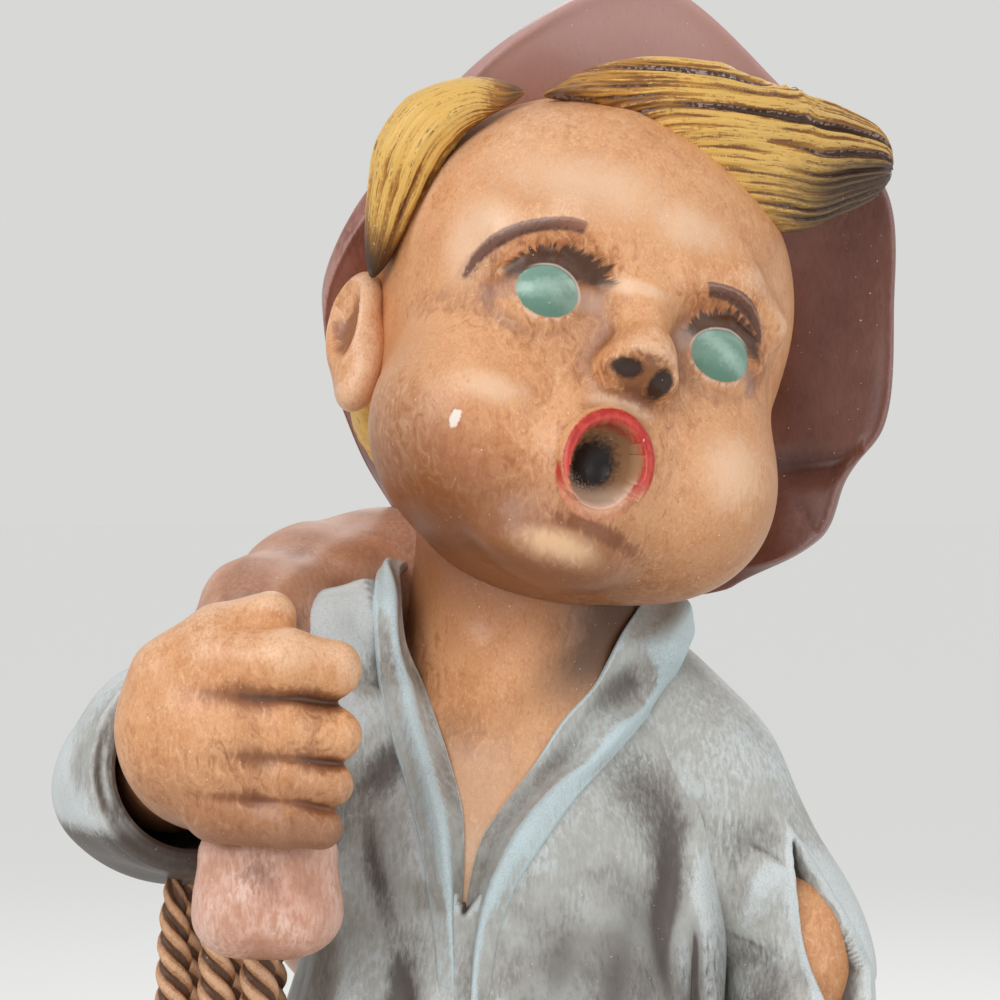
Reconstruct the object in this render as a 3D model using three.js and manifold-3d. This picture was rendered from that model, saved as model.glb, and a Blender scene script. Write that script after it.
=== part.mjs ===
// Ceramic figurine of a calling boy in a slouch hat, with a sack over his right shoulder and a hank of
// rope on his arm. It is slip-cast in sections that are joined with slip, and each section is a solid.
// Millimetres, +Z up. The boy faces -Y, and the origin is the middle of the base's underside.
import * as THREE from 'three';
import { mergeVertices } from 'three/addons/utils/BufferGeometryUtils.js';
import Module from 'manifold-3d';

const wasm = await Module();
wasm.setup();

// Driving dimensions: the casting
const WALL = 5; // cast wall of the hollow sections
const SEAM = 0.3; // slip joint between two sections
const CRUMB = 0.05; // edges shorter than this are closed up
const LEG_BORE = 5; // radius of the air way down each leg
const VENT_RADIUS = 7; // of the vent in the base's floor
const VENT_OFFSET = 40;

// Driving dimensions: base, boots and legs
const BASE_LENGTH = 158;
const BASE_DEPTH = 128;
const BASE_HEIGHT = 24;
const BASE_EDGE = 12; // rounding of the mound's shoulder
const STANCE = 23; // half the distance between the feet
const TOE_OUT = 14; // degrees that each foot turns out
const BOOT_LENGTH = 58;
const BOOT_RADIUS = 13;
const BOOT_HEIGHT = 26;
const SHIN_RADIUS = 10.5;
const CUFF_HEIGHT = 76; // trouser hem above the floor
const CUFF_RADIUS = 19;
const KNEE_HEIGHT = 106;
const KNEE_RADIUS = 18;
const THIGH_RADIUS = 21;
const HIP_HEIGHT = 174;
const HIP_HALF_WIDTH = 41;
const HIP_HALF_DEPTH = 34;
const HIP_HALF_HEIGHT = 34;

// Driving dimensions: shirt, neck and open collar
const HEM_RISE = 18; // of the shirt's hem above the middle of the hips
const HEM_HALF_WIDTH = 47;
const HEM_HALF_DEPTH = 40;
const BELLY_HEIGHT = 220;
const BELLY_HALF_WIDTH = 41;
const BELLY_HALF_DEPTH = 35;
const CHEST_DROP = 28; // of the chest's middle below the shoulders
const CHEST_HALF_WIDTH = 37;
const CHEST_HALF_DEPTH = 31;
const SHOULDER_HEIGHT = 282;
const SHOULDER_SPREAD = 31;
const SHOULDER_RADIUS = 14;
const YOKE_RISE = 19; // of the lifted right shoulder's edge above the shoulders
const YOKE_RADIUS = 8;
const COLLAR_ROLL = 4.2; // radius of the turned-back collar
const OPENING_DROP = 25; // the open V reaches from this far below the shoulders
const OPENING_RISE = 23; // to this far above them
const OPENING_SHIFT = -5;
const OPENING_RIGHT = -19;
const OPENING_LEFT = 31;
const NECK_RADIUS = 21.5;
const NECK_RISE = 46; // of the neck's top above the shoulders

// Driving dimensions: head, hair and hat
const HEAD_RISE = 67; // of the head's centre above the shoulders
const HEAD_SHIFT = 13; // how far the head leans to his left
const HEAD_TURN = 14; // degrees
const HEAD_BACK = 13; // degrees
const HEAD_TILT = 19; // degrees
const SKULL_HALF_WIDTH = 40;
const EYE_SPACING = 34.6;
const MOUTH_HALF_WIDTH = 5.2;
const MOUTH_HALF_HEIGHT = 7.2;
const MOUTH_DEPTH = 15;
const LIP_RADIUS = 1.9;
const EAR_HALF_HEIGHT = 13.5;
const EAR_HALF_WIDTH = 8.5;
const HAIRLINE_LEAN = 18; // degrees that the back hair's edge leans back
const LOCK_HALF_HEIGHT = 13.5; // of the swept forelock at its middle
const TUFT_HALF_WIDTH = 6;
const BRIM_THICKNESS = 4.6;
const CROWN_HALF_WIDTH = 38;

// Driving dimensions: arms and what he carries
const ELBOW_RADIUS = 21;
const CUFF_RIM = 20; // radius of the right sleeve's mouth
const CUFF_HOLLOW = 17; // depth of the right sleeve's mouth
const CLOTH = 3.2; // thickness of the cloth at its edges
const WRIST_RADIUS = 11.5;
const FINGER_RADII = [5.4, 4.9, 4.3, 4.2];
const FINGER_PLACES = [10.5, -1, -9, -16]; // heights from the middle of the fist
const FINGER_REACH = [31, 31, 30, 27]; // from the middle of the fist to the fingertips
const THUMB_RADIUS = 5.2;
const LEFT_SLEEVE_RADIUS = 16;
const TAIL_WIDTH = 25;
const TAIL_LENGTH = 22;
const TAIL_DEPTH = 15;
const SACK_HALF_WIDTH = 41;
const SACK_HALF_DEPTH = 29;
const SACK_HALF_HEIGHT = 36;
const SACK_NECK = 13; // radius of the sack where it comes over the shoulder
const ROPE_RADIUS = 3.4;
const ROPE_SPACING = 7.8;
const ROPE_DROP = 92; // from the sleeve's underside to the bottom of the hank

// Heights that follow from those above
const SHIRT_HEM = HIP_HEIGHT + HEM_RISE;
const CHEST_HEIGHT = SHOULDER_HEIGHT - CHEST_DROP;
const OPENING_FOOT = SHOULDER_HEIGHT - OPENING_DROP;
const OPENING_TOP = SHOULDER_HEIGHT + OPENING_RISE;
const NECK_TOP = SHOULDER_HEIGHT + NECK_RISE;
const HEAD_HEIGHT = SHOULDER_HEIGHT + HEAD_RISE;

const vec = (x, y, z) => new THREE.Vector3(x, y, z);
const radians = THREE.MathUtils.degToRad;
const lerp = THREE.MathUtils.lerp;
const curve = (...points) => new THREE.CatmullRomCurve3(points);
const bothSides = (make) => [make(1), make(-1)];

// A field gives a point's rough distance to a surface, and is negative inside it.
function egg(centre, radii) {
  const inverse = vec(1 / radii.x, 1 / radii.y, 1 / radii.z);
  const q = vec(0, 0, 0);
  return (p) => {
    q.copy(p).sub(centre).multiply(inverse);
    const outer = q.length();
    const inner = q.multiply(inverse).length();
    return inner < 1e-9 ? -Math.min(radii.x, radii.y, radii.z) : (outer * (outer - 1)) / inner;
  };
}

function rod(start, end, startRadius, endRadius = startRadius) {
  const along = end.clone().sub(start);
  const q = vec(0, 0, 0);
  return (p) => {
    q.copy(p).sub(start);
    const share = THREE.MathUtils.clamp(q.dot(along) / along.lengthSq(), 0, 1);
    return q.addScaledVector(along, -share).length() - lerp(startRadius, endRadius, share);
  };
}

function block(centre, half, round) {
  const q = vec(0, 0, 0);
  return (p) => {
    q.copy(p).sub(centre);
    q.set(Math.abs(q.x) - half.x + round, Math.abs(q.y) - half.y + round, Math.abs(q.z) - half.z + round);
    const inside = Math.min(Math.max(q.x, q.y, q.z), 0);
    return q.set(Math.max(q.x, 0), Math.max(q.y, 0), Math.max(q.z, 0)).length() + inside - round;
  };
}

// An oval ring that stands across Y, such as a pair of open lips.
function hoop(centre, halfWidth, halfHeight, radius) {
  return (p) => {
    const reach = Math.hypot((p.x - centre.x) / halfWidth, (p.z - centre.z) / halfHeight);
    return Math.hypot((reach - 1) * Math.min(halfWidth, halfHeight), p.y - centre.y) - radius;
  };
}

const smoothMin = (a, b, soft) => Math.min(a, b) - Math.max(soft - Math.abs(a - b), 0) ** 2 / (4 * soft);
const blend = (soft, ...fields) => (p) => fields.reduce((d, field) => smoothMin(d, field(p), soft), 1e3);
const carved = (soft, body, ...cuts) => (p) => cuts.reduce((d, cut) => -smoothMin(-d, cut(p), soft), body(p));

// The point where a ray from inside a field reaches a level of it.
function surfacePoint(field, start, ray, level = 0) {
  const p = vec(0, 0, 0);
  let near = 0;
  let far = 120;
  for (let step = 0; step < 22; step++) {
    const middle = (near + far) / 2;
    if (field(p.copy(start).addScaledVector(ray, middle)) < level) near = middle;
    else far = middle;
  }
  return start.clone().addScaledVector(ray, near);
}

// A form is a surface of u round the section and v from its first pole to its last, at a level that is
// positive for a skin that stands proud and negative for one that lies inside, with its grid.

// The form of a field, seen from a core: a point with its first pole's direction, or a curve for a long
// section. A spread above 1 draws the rings towards the first pole, a bias the columns towards u = 0.25.
function sculpted(field, core, options) {
  const { pole = vec(0, 0, 1), side = vec(1, 0, 0), spread = 1, bias = 0, around, along } = options;
  const isLine = core instanceof THREE.Curve;
  const surface = (u, v, level) => {
    const start = isLine ? core.getPoint(v) : core;
    const axis = isLine ? core.getTangent(v) : pole.clone().negate().normalize();
    const lean = isLine ? 0.5 * Math.PI * (2 * v - 1) ** 3 : Math.PI * (v ** spread - 0.5);
    const across = side.clone().addScaledVector(axis, -side.dot(axis)).normalize();
    const turn = 2 * Math.PI * u + bias * Math.cos(2 * Math.PI * u) - bias;
    const ray = across.clone().multiplyScalar(Math.cos(turn));
    ray.addScaledVector(across.clone().cross(axis), Math.sin(turn));
    ray.multiplyScalar(v === 0 || v === 1 ? 0 : Math.cos(lean)).addScaledVector(axis, Math.sin(lean));
    return surfacePoint(field, start, ray, level);
  };
  return { surface, around, along };
}

// An oval bar along a curve with round ends: `girth` gives its half-width along `side` and its
// half-thickness across it, at v along the curve.
function lofted(path, girth, { side = vec(1, 0, 0), around, along }) {
  const surface = (u, v, level) => {
    const tangent = path.getTangent(v);
    const across = side.clone().addScaledVector(tangent, -side.dot(tangent)).normalize();
    const [width, thickness] = girth(v);
    const isPole = v === 0 || v === 1;
    const cap = isPole ? 0 : Math.sqrt(1 - (2 * v - 1) ** 8);
    const p = path.getPoint(v).addScaledVector(across, (width + level) * cap * Math.cos(2 * Math.PI * u));
    p.addScaledVector(across.clone().cross(tangent), (thickness + level) * cap * Math.sin(2 * Math.PI * u));
    return isPole ? p.addScaledVector(tangent, (2 * v - 1) * level) : p;
  };
  return { surface, around, along };
}

// The solid of a closed geometry, laid on a form where one is given.
function solid(geometry, place) {
  const bare = geometry.clone();
  if (place) {
    const position = bare.getAttribute('position');
    const uv = bare.getAttribute('uv');
    for (let i = 0; i < position.count; i++) {
      const p = place(uv.getX(i), uv.getY(i));
      position.setXYZ(i, p.x, p.y, p.z);
    }
  }
  bare.deleteAttribute('normal');
  bare.deleteAttribute('uv');
  const merged = mergeVertices(bare, 1e-4);
  const triVerts = new Uint32Array(merged.index.array);
  const vertProperties = merged.getAttribute('position').array;
  return new wasm.Manifold(new wasm.Mesh({ numProp: 3, vertProperties, triVerts, tolerance: CRUMB }));
}

function skin({ surface, around, along }, level = 0) {
  return solid(new THREE.SphereGeometry(1, around, along), (u, v) => surface(u, 1 - v, level));
}

function coarse(form, share) {
  return { ...form, around: Math.ceil(form.around * share), along: Math.ceil(form.along * share) };
}

const grown = (form) => skin(form, SEAM);
const hollowOf = (form) => skin(coarse(form, 0.5), -WALL);
const seatOf = (form) => skin(coarse(form, 0.6), 3 * SEAM);
const joined = (bodies) => bodies.reduce((whole, body) => whole.add(body));
const slab = 800; // a block larger than the figurine, which cuts it along one face
const above = (height) => solid(new THREE.BoxGeometry(slab, slab, slab).translate(0, 0, height + slab / 2));
const below = (height) => solid(new THREE.BoxGeometry(slab, slab, slab).translate(0, 0, height - slab / 2));

// A solid without its neighbours, as one body: crumbs that a trim leaves behind are dropped.
function seated(body, ...neighbours) {
  const left = neighbours.reduce((rest, other) => rest.subtract(other), body);
  return left.decompose().reduce((a, b) => (a.volume() > b.volume() ? a : b));
}

const FINISHES = {
  skin: [0xd29a72, 0.55],
  shirt: [0x9c9d98, 0.5],
  hat: [0x8a5f54, 0.5],
  hair: [0xc9974a, 0.5],
  sack: [0xb98469, 0.55],
  rope: [0x9a6f50, 0.6],
  trousers: [0x4d4a58, 0.55],
  boots: [0x5a3a2c, 0.5],
  mound: [0x6d6a4c, 0.65],
};

const figurine = new THREE.Group();

function add(name, finish, body, group = figurine) {
  const { vertProperties, triVerts } = body.getMesh();
  const geometry = new THREE.BufferGeometry();
  geometry.setAttribute('position', new THREE.BufferAttribute(vertProperties, 3));
  geometry.setIndex(new THREE.BufferAttribute(triVerts, 1));
  geometry.computeVertexNormals();
  const [color, roughness] = FINISHES[finish];
  const mesh = new THREE.Mesh(geometry, new THREE.MeshStandardMaterial({ color, roughness, metalness: 0 }));
  mesh.name = name;
  group.add(mesh);
}

// Base: an oval mound, hollow over its floor
function moundOf(inset) {
  const steps = 3;
  const halfLength = BASE_LENGTH / 2 - inset;
  const height = BASE_HEIGHT - inset;
  const edge = BASE_EDGE - inset;
  const points = [new THREE.Vector2(0, inset), new THREE.Vector2(halfLength, inset)];
  for (let step = 0; step <= steps; step++) {
    const angle = (0.5 * Math.PI * step) / steps;
    const x = halfLength - edge * (1 - Math.cos(angle));
    points.push(new THREE.Vector2(x, height - edge + edge * Math.sin(angle)));
  }
  points.push(new THREE.Vector2(0, height));
  const lathe = new THREE.LatheGeometry(points, 28).rotateX(Math.PI / 2);
  return solid(lathe.scale(1, (BASE_DEPTH / 2 - inset) / halfLength, 1));
}

// Legs: bored boots and shins let the air in the casting out to the vent
const standing = BASE_HEIGHT + SEAM;
const ankle = (side, height = standing + BOOT_HEIGHT) => vec(side * STANCE, 2, height);
const knee = (side) => vec(side * STANCE, -4, KNEE_HEIGHT);
const hip = (side) => vec(side * (STANCE - 2), 0, HIP_HEIGHT - 8);

function bootForm(side) {
  const heel = ankle(side, standing + BOOT_RADIUS - 3);
  const turn = new THREE.Euler(0, 0, side * radians(TOE_OUT));
  const toe = vec(0, 2 * BOOT_RADIUS - BOOT_LENGTH, -1).applyEuler(turn).add(heel);
  const field = blend(8, rod(heel, toe, BOOT_RADIUS, BOOT_RADIUS - 1), rod(heel, ankle(side), BOOT_RADIUS));
  return sculpted(field, new THREE.LineCurve3(heel, toe), { around: 14, along: 10 });
}

const shinForm = (side) => lofted(
  new THREE.LineCurve3(ankle(side).add(vec(0, 0, -9)), ankle(side, CUFF_HEIGHT + 14)),
  () => [SHIN_RADIUS, SHIN_RADIUS], { around: 12, along: 6 });
const legForm = (side) => sculpted(
  blend(10, rod(hip(side), knee(side), THIGH_RADIUS, KNEE_RADIUS),
    rod(knee(side), ankle(side, CUFF_HEIGHT), KNEE_RADIUS, CUFF_RADIUS)),
  curve(hip(side), knee(side), ankle(side, CUFF_HEIGHT)), { around: 12, along: 8 });
const boreForm = (side) => lofted(
  curve(ankle(side, BASE_HEIGHT - WALL - LEG_BORE), ankle(side, CUFF_HEIGHT), knee(side), hip(side)),
  () => [LEG_BORE, LEG_BORE], { around: 6, along: 8 });
const hipsForm = sculpted(
  blend(14, egg(vec(0, 0, HIP_HEIGHT), vec(HIP_HALF_WIDTH, HIP_HALF_DEPTH, HIP_HALF_HEIGHT)),
    ...bothSides((side) => rod(hip(side), hip(side).lerp(knee(side), 0.45), THIGH_RADIUS, THIGH_RADIUS - 1))),
  vec(0, 0, HIP_HEIGHT), { around: 18, along: 10 });

const bores = bothSides((side) => skin(boreForm(side)));
const boots = bothSides((side) => skin(bootForm(side)).intersect(above(standing)));
const shins = bothSides((side) => skin(shinForm(side)));
const grownShins = bothSides((side) => grown(shinForm(side)));
const trouserLegs = bothSides((side) => skin(legForm(side)).intersect(above(CUFF_HEIGHT)));
const trouserShell = joined([skin(hipsForm), ...trouserLegs]).subtract(hollowOf(hipsForm));
const trousers = trouserShell.intersect(below(SHIRT_HEM + WALL));

// Torso: the shirt hangs loose over the trousers, and stands open in a V down the chest
const leftShoulder = vec(SHOULDER_SPREAD + 5, 4, SHOULDER_HEIGHT - 13);
const rightShoulder = vec(-SHOULDER_SPREAD, 4, SHOULDER_HEIGHT - 2);
const torsoField = blend(12,
  egg(vec(-1, -1, SHIRT_HEM + 4), vec(HEM_HALF_WIDTH, HEM_HALF_DEPTH, 26)),
  egg(vec(-1, -2, BELLY_HEIGHT), vec(BELLY_HALF_WIDTH, BELLY_HALF_DEPTH, 34)),
  egg(vec(-1, 0, CHEST_HEIGHT), vec(CHEST_HALF_WIDTH, CHEST_HALF_DEPTH, 34)),
  ...[leftShoulder, rightShoulder].map((end) => rod(vec(4, 4, SHOULDER_HEIGHT + 14), end, SHOULDER_RADIUS)),
  rod(vec(-25, -8, SHOULDER_HEIGHT + YOKE_RISE + 2), vec(-36, -12, SHOULDER_HEIGHT + YOKE_RISE - 2), YOKE_RADIUS));
const shirtForm = sculpted(torsoField, vec(0, 0, CHEST_HEIGHT - 4), { around: 24, along: 16 });

// The chest lies a cloth's thickness under the shirt and shows in the V
const neckFoot = vec(3, 3, SHOULDER_HEIGHT - 10);
const neckTop = vec(6, 2, NECK_TOP);
const neckField = rod(neckFoot, neckTop, NECK_RADIUS + 1.5, NECK_RADIUS);
const chestField = blend(12, (p) => torsoField(p) + CLOTH, neckField);
const chestForm = sculpted(chestField, curve(vec(2, 1, OPENING_FOOT + 8), neckFoot, neckTop),
  { around: 20, along: 12 });

// A prism through the body, wider than the V by a margin, as far back as it is told
function openingPrism(margin, back, top = NECK_TOP) {
  const outline = new THREE.Shape();
  outline.moveTo(OPENING_SHIFT, OPENING_FOOT - 1.6 * margin);
  outline.lineTo(OPENING_LEFT + margin, OPENING_TOP);
  outline.lineTo(OPENING_LEFT + margin, top);
  outline.lineTo(OPENING_RIGHT - margin, top);
  outline.lineTo(OPENING_RIGHT - margin, OPENING_TOP);
  const prism = new THREE.ExtrudeGeometry(outline, { depth: 80 + back, bevelEnabled: false });
  return solid(prism.rotateX(Math.PI / 2).translate(0, back, 0));
}

const chestMargin = 5;
const neckAndChest = seated(skin(chestForm).subtract(hollowOf(chestForm)).intersect(openingPrism(chestMargin, 50)));
const grownChest = grown(chestForm).intersect(openingPrism(chestMargin + SEAM, 50 + SEAM, NECK_TOP + SEAM));

// Collar rolls: round the neck and down the V, the left one on as the placket
function collarForm(side) {
  const edgeX = side > 0 ? OPENING_LEFT : OPENING_RIGHT;
  const onTorso = (x, z) => surfacePoint(torsoField, vec(x, 2, z), vec(0, -1, 0), 0.3 * COLLAR_ROLL);
  const edge = (share) => onTorso(lerp(OPENING_SHIFT, edgeX, share), lerp(OPENING_FOOT, OPENING_TOP, share));
  const roundNeck = (x, y, z) => vec(4.5 + side * x * NECK_RADIUS, 2.5 + y * NECK_RADIUS, OPENING_TOP + z);
  const path = [roundNeck(0.05, 1.16, 2), roundNeck(0.85, 0.85, 2), roundNeck(1.25, 0.05, -1)];
  path.push(edge(0.8), edge(0.55), edge(0.25));
  if (side > 0) {
    path.push(edge(0), onTorso(OPENING_SHIFT, OPENING_FOOT - 20), onTorso(OPENING_SHIFT, OPENING_FOOT - 35));
  } else {
    path.push(edge(0).add(vec(-0.5 * COLLAR_ROLL, 0, -6)));
  }
  const girth = () => [COLLAR_ROLL, 0.85 * COLLAR_ROLL];
  return lofted(curve(...path), girth, { side: vec(0, 0, 1), around: 8, along: side > 0 ? 26 : 17 });
}

const leftCollar = seated(skin(collarForm(1)), grownChest);
const rightCollar = seated(skin(collarForm(-1)), grownChest, grown(collarForm(1)));
const shirtHollow = hollowOf(shirtForm).intersect(above(SHIRT_HEM + 2 * WALL));
const shirt = seated(skin(shirtForm).intersect(above(SHIRT_HEM)), shirtHollow, openingPrism(0, 0), grownChest,
  grown(collarForm(1)), grown(collarForm(-1)), grown(hipsForm));
const grownShirt = grown(shirtForm).intersect(above(SHIRT_HEM - SEAM));

// Right arm: a wide sleeve from shoulder to cuff, with the fist in front of its dark mouth
const fist = vec(-50, -57, SHOULDER_HEIGHT + 5);
const cuff = vec(-57, -38, SHOULDER_HEIGHT - 5);
const rightElbow = vec(-65, -11, SHOULDER_HEIGHT - 8);
const sleevePath = curve(rightShoulder.clone().add(vec(6, 2, 0)),
  rightShoulder.clone().add(vec(-16, -4, -1)), rightElbow, cuff);
const sleeveGirths = curve(vec(SHOULDER_RADIUS + 2, 0, 0), vec(SHOULDER_RADIUS + 4, 0, 0), vec(ELBOW_RADIUS, 0, 0),
  vec(CUFF_RIM, 0, 0));
const sleeveRadius = (v) => sleeveGirths.getPoint(v).x;
const sleeveForm = lofted(sleevePath, (v) => [sleeveRadius(v), sleeveRadius(v)],
  { side: vec(0, 0, 1), around: 18, along: 14 });
const cuffAxis = cuff.clone().sub(rightElbow).normalize();
const alongCuff = (distance) => cuff.clone().addScaledVector(cuffAxis, distance);
const mouthForm = lofted(new THREE.LineCurve3(alongCuff(-CUFF_HOLLOW), alongCuff(40)),
  () => [CUFF_RIM - CLOTH, CUFF_RIM - CLOTH], { side: vec(0, 0, 1), around: 14, along: 6 });
const rightSleeve = seated(skin(sleeveForm), skin(mouthForm), grownShirt);
const grownSleeve = grown(sleeveForm).subtract(skin(mouthForm, -SEAM));

// Right hand: the fingers lie over the sack's gathered neck, the thumb on top
const fingerForms = FINGER_RADII.map((radius, i) => {
  const knuckle = fist.clone().add(vec(4, -8, FINGER_PLACES[i] + 1));
  const tip = fist.clone().add(vec(FINGER_REACH[i] - radius, -5, FINGER_PLACES[i] - 1));
  const middle = knuckle.clone().lerp(tip, 0.5).add(vec(1, -1.5, 0));
  return lofted(curve(knuckle, middle, tip), () => [radius, radius], { side: vec(0, 0, 1), around: 8, along: 6 });
});
const thumbPath = curve(...[vec(-9, -2, 9), vec(1, -2, 17), vec(16, -1, 20)].map((place) => place.add(fist)));
const thumbForm = lofted(thumbPath, () => [THUMB_RADIUS, THUMB_RADIUS], { side: vec(0, 0, 1), around: 8, along: 6 });
const palmForm = sculpted(
  blend(6, egg(fist.clone().add(vec(-2, 0, -1)), vec(15.5, 11.5, 18.5)), rod(alongCuff(-8), fist, WRIST_RADIUS)),
  fist.clone().lerp(cuff, 0.3), { around: 14, along: 10 });
const handForms = [palmForm, thumbForm, ...fingerForms];
const rightHand = seated(joined(handForms.map((form) => skin(form))), grownSleeve, grownShirt);
const grownHand = joined(handForms.map(grown));

// Sack: its neck crosses the shoulder to the fist, and its end shows under the fingers
const tailForm = sculpted(
  block(fist.clone().add(vec(9, 4, -30)), vec(TAIL_WIDTH / 2, TAIL_DEPTH / 2, TAIL_LENGTH / 2), 5.5),
  fist.clone().add(vec(9, 4, -30)), { around: 16, along: 8 });
const sackCentre = vec(-14, 44, SHOULDER_HEIGHT - 18);
const sackNeckPath = curve(fist.clone().add(vec(6, 5, 5)), fist.clone().add(vec(3, 24, 10)),
  vec(-43, -8, SHOULDER_HEIGHT + 19), vec(-33, 14, SHOULDER_HEIGHT + 21), sackCentre.clone().add(vec(-6, -8, 28)));
const sackNeckGirths = curve(vec(7, 0, 0), vec(SACK_NECK - 1, 0, 0), vec(SACK_NECK, 0, 0), vec(SACK_NECK + 7, 0, 0),
  vec(SACK_NECK + 10, 0, 0));
const sackField = blend(14,
  egg(sackCentre.clone().add(vec(0, 0, -9)), vec(SACK_HALF_WIDTH, SACK_HALF_DEPTH, SACK_HALF_HEIGHT)),
  egg(sackCentre.clone().add(vec(-4, -4, 26)), vec(SACK_HALF_WIDTH - 15, SACK_HALF_DEPTH - 6, 22)));
const sackForms = [
  sculpted(sackField, sackCentre, { around: 16, along: 10 }),
  lofted(sackNeckPath, (v) => [sackNeckGirths.getPoint(v).x, sackNeckGirths.getPoint(v).x],
    { around: 12, along: 10 }),
];
const sackTail = seated(skin(tailForm), grownHand, grownSleeve, grownShirt);
const sack = seated(joined(sackForms.map((form) => skin(form))), grownHand, grownSleeve, grownShirt, grownChest,
  grown(collarForm(1)), grown(collarForm(-1)), grown(tailForm));
const grownSack = joined(sackForms.map(grown));

// Rope: one hank hung over the forearm, its loops side by side under the sleeve
const ropeForms = [0, 1, 2].map((i) => {
  const x = rightElbow.x + 5.5 + i * ROPE_SPACING;
  const top = rightElbow.z - 3;
  const bottom = rightElbow.z - ELBOW_RADIUS - ROPE_DROP + 5 * i;
  const path = curve(vec(x, -31, top), vec(x, -32, lerp(top, bottom, 0.6)), vec(x + 1, -28, bottom + 5),
    vec(x + 1, -21, bottom), vec(x, -14, bottom + 5), vec(x, -10, lerp(top, bottom, 0.6)), vec(x, -11, top));
  return lofted(path, () => [ROPE_RADIUS, ROPE_RADIUS], { around: 7, along: 22 });
});

// Left arm: a loose sleeve, torn open over the elbow, and the hand at the trouser pocket
const pocket = vec(38, -22, HIP_HEIGHT + 12);
const downArm = (x, y, share) => vec(x, y, lerp(pocket.z, leftShoulder.z, share));
const leftElbow = downArm(57, 3, 0.63);
const leftWrist = downArm(47, -18, 0.145);
const leftSleevePath = curve(leftShoulder.clone().add(vec(-6, 0, 4)), leftShoulder.clone().add(vec(12, 0, -12)),
  leftElbow, downArm(56, -6, 0.36), leftWrist);
const leftSleeveForm = lofted(leftSleevePath, (v) => [LEFT_SLEEVE_RADIUS - 2 * v, LEFT_SLEEVE_RADIUS - 2 * v],
  { around: 14, along: 13 });
const tearPath = curve(...[vec(5, -17, 20), vec(8, -17, 3), vec(6, -17, -14)].map((place) => place.add(leftElbow)));
const tearForm = lofted(tearPath, () => [6.5, 13], { around: 10, along: 6 });
const elbowField = egg(leftElbow.clone().add(vec(0, 0, 3)), vec(13.5, 13.5, 21));
const elbowForm = sculpted(elbowField, leftElbow, { around: 12, along: 7 });
const leftHandForm = lofted(
  curve(leftWrist.clone().add(vec(1, 1, 4)), downArm(44, -21, 0.1), pocket, pocket.clone().add(vec(-5, -1, -14))),
  (v) => [9 + 2 * v, 8], { around: 12, along: 9 });
const leftElbowSkin = seated(skin(elbowForm), grownShirt);
const leftHand = seated(skin(leftHandForm), grownShirt, grown(hipsForm));
const leftSleeve = seated(skin(leftSleeveForm), skin(tearForm), grown(elbowForm), grown(leftHandForm), grownShirt);

// Head: every place below is in the head's own frame, +X to his left and the face towards -Y
const headGroup = new THREE.Group();
headGroup.position.set(HEAD_SHIFT, -3, HEAD_HEIGHT);
headGroup.rotation.set(-radians(HEAD_BACK), radians(HEAD_TILT), radians(HEAD_TURN), 'ZYX');
headGroup.updateMatrix();
figurine.add(headGroup);
const toHead = headGroup.matrix.clone().invert().elements;
const inHead = (body) => body.transform(toHead);

const mouth = vec(0, -41, -27.5);
const skull = egg(vec(0, 4, 8), vec(SKULL_HALF_WIDTH, 43, 44));
const faceField = carved(5,
  blend(10, skull, egg(vec(-3, -8, 20), vec(37, 32, 31)), egg(vec(0, -8, -28), vec(27, 24, 17)),
    egg(vec(0, -26, -25), vec(15, 14.5, 17)), egg(vec(0, -27, -41), vec(9.5, 9.5, 6)),
    egg(vec(22.5, -17, -21), vec(18.5, 18.5, 18.5)), egg(vec(-21, -17, -21), vec(17.5, 18.5, 18.5))),
  ...bothSides((side) => egg(vec((side * EYE_SPACING) / 2, -41, 2.5), vec(10, 6, 7))));
const noseField = blend(4, rod(vec(1, -38, 6), vec(2.2, -43, -5), 3, 4.2), egg(vec(2.2, -44.5, -7), vec(5, 4.3, 3.6)),
  ...bothSides((side) => egg(vec(2.2 + side * 5, -41.8, -8.8), vec(3.4, 3.6, 3.2))));
const eyeField = (side) => egg(vec((side * EYE_SPACING) / 2, -30.5, 1.3), vec(7.6, 7, 6.2));
const headField = carved(1.5,
  blend(3, faceField, noseField, hoop(mouth, MOUTH_HALF_WIDTH + LIP_RADIUS, MOUTH_HALF_HEIGHT + LIP_RADIUS, LIP_RADIUS),
    ...bothSides(eyeField)),
  ...bothSides((side) => egg(vec(2.2 + side * 3.5, -45, -10.4), vec(2.3, 3.5, 1.9))),
  egg(mouth.clone().add(vec(0, 2, 0)), vec(MOUTH_HALF_WIDTH, MOUTH_DEPTH, MOUTH_HALF_HEIGHT)));
const headForm = sculpted(headField, vec(0, 2, -14),
  { pole: vec(0, -43, -13.5), spread: 1.35, bias: 0.35, around: 38, along: 32 });
const headHollow = sculpted(egg(vec(0, 8, 10), vec(SKULL_HALF_WIDTH - 2 * WALL + 3, 33, 34)), vec(0, 8, 10),
  { around: 16, along: 10 });
const throat = lofted(new THREE.LineCurve3(neckTop.clone().add(vec(0, 0, -8)), neckTop.clone().add(vec(2, 2, 18))),
  () => [NECK_RADIUS - WALL, NECK_RADIUS - WALL], { around: 16, along: 6 });
const grownNeck = inHead(grownChest);
const head = seated(skin(headForm), skin(headHollow), grownNeck, inHead(skin(throat)));
const grownHead = seatOf(headForm);

// Ears
const earBack = (side) => (side > 0 ? 8 : 2); // the left ear lies further back, behind the full cheek
const earForm = (side) => sculpted(
  carved(2, egg(vec(side * 41, earBack(side), -7.5), vec(4.5, EAR_HALF_WIDTH, EAR_HALF_HEIGHT)),
    egg(vec(side * 46, earBack(side) - 3, -6.5), vec(4, EAR_HALF_WIDTH - 3.5, EAR_HALF_HEIGHT - 4.5))),
  vec(side * 38.5, earBack(side), -7.5), { pole: vec(side, 0, 0), side: vec(0, 1, 0), around: 16, along: 9 });

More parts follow.
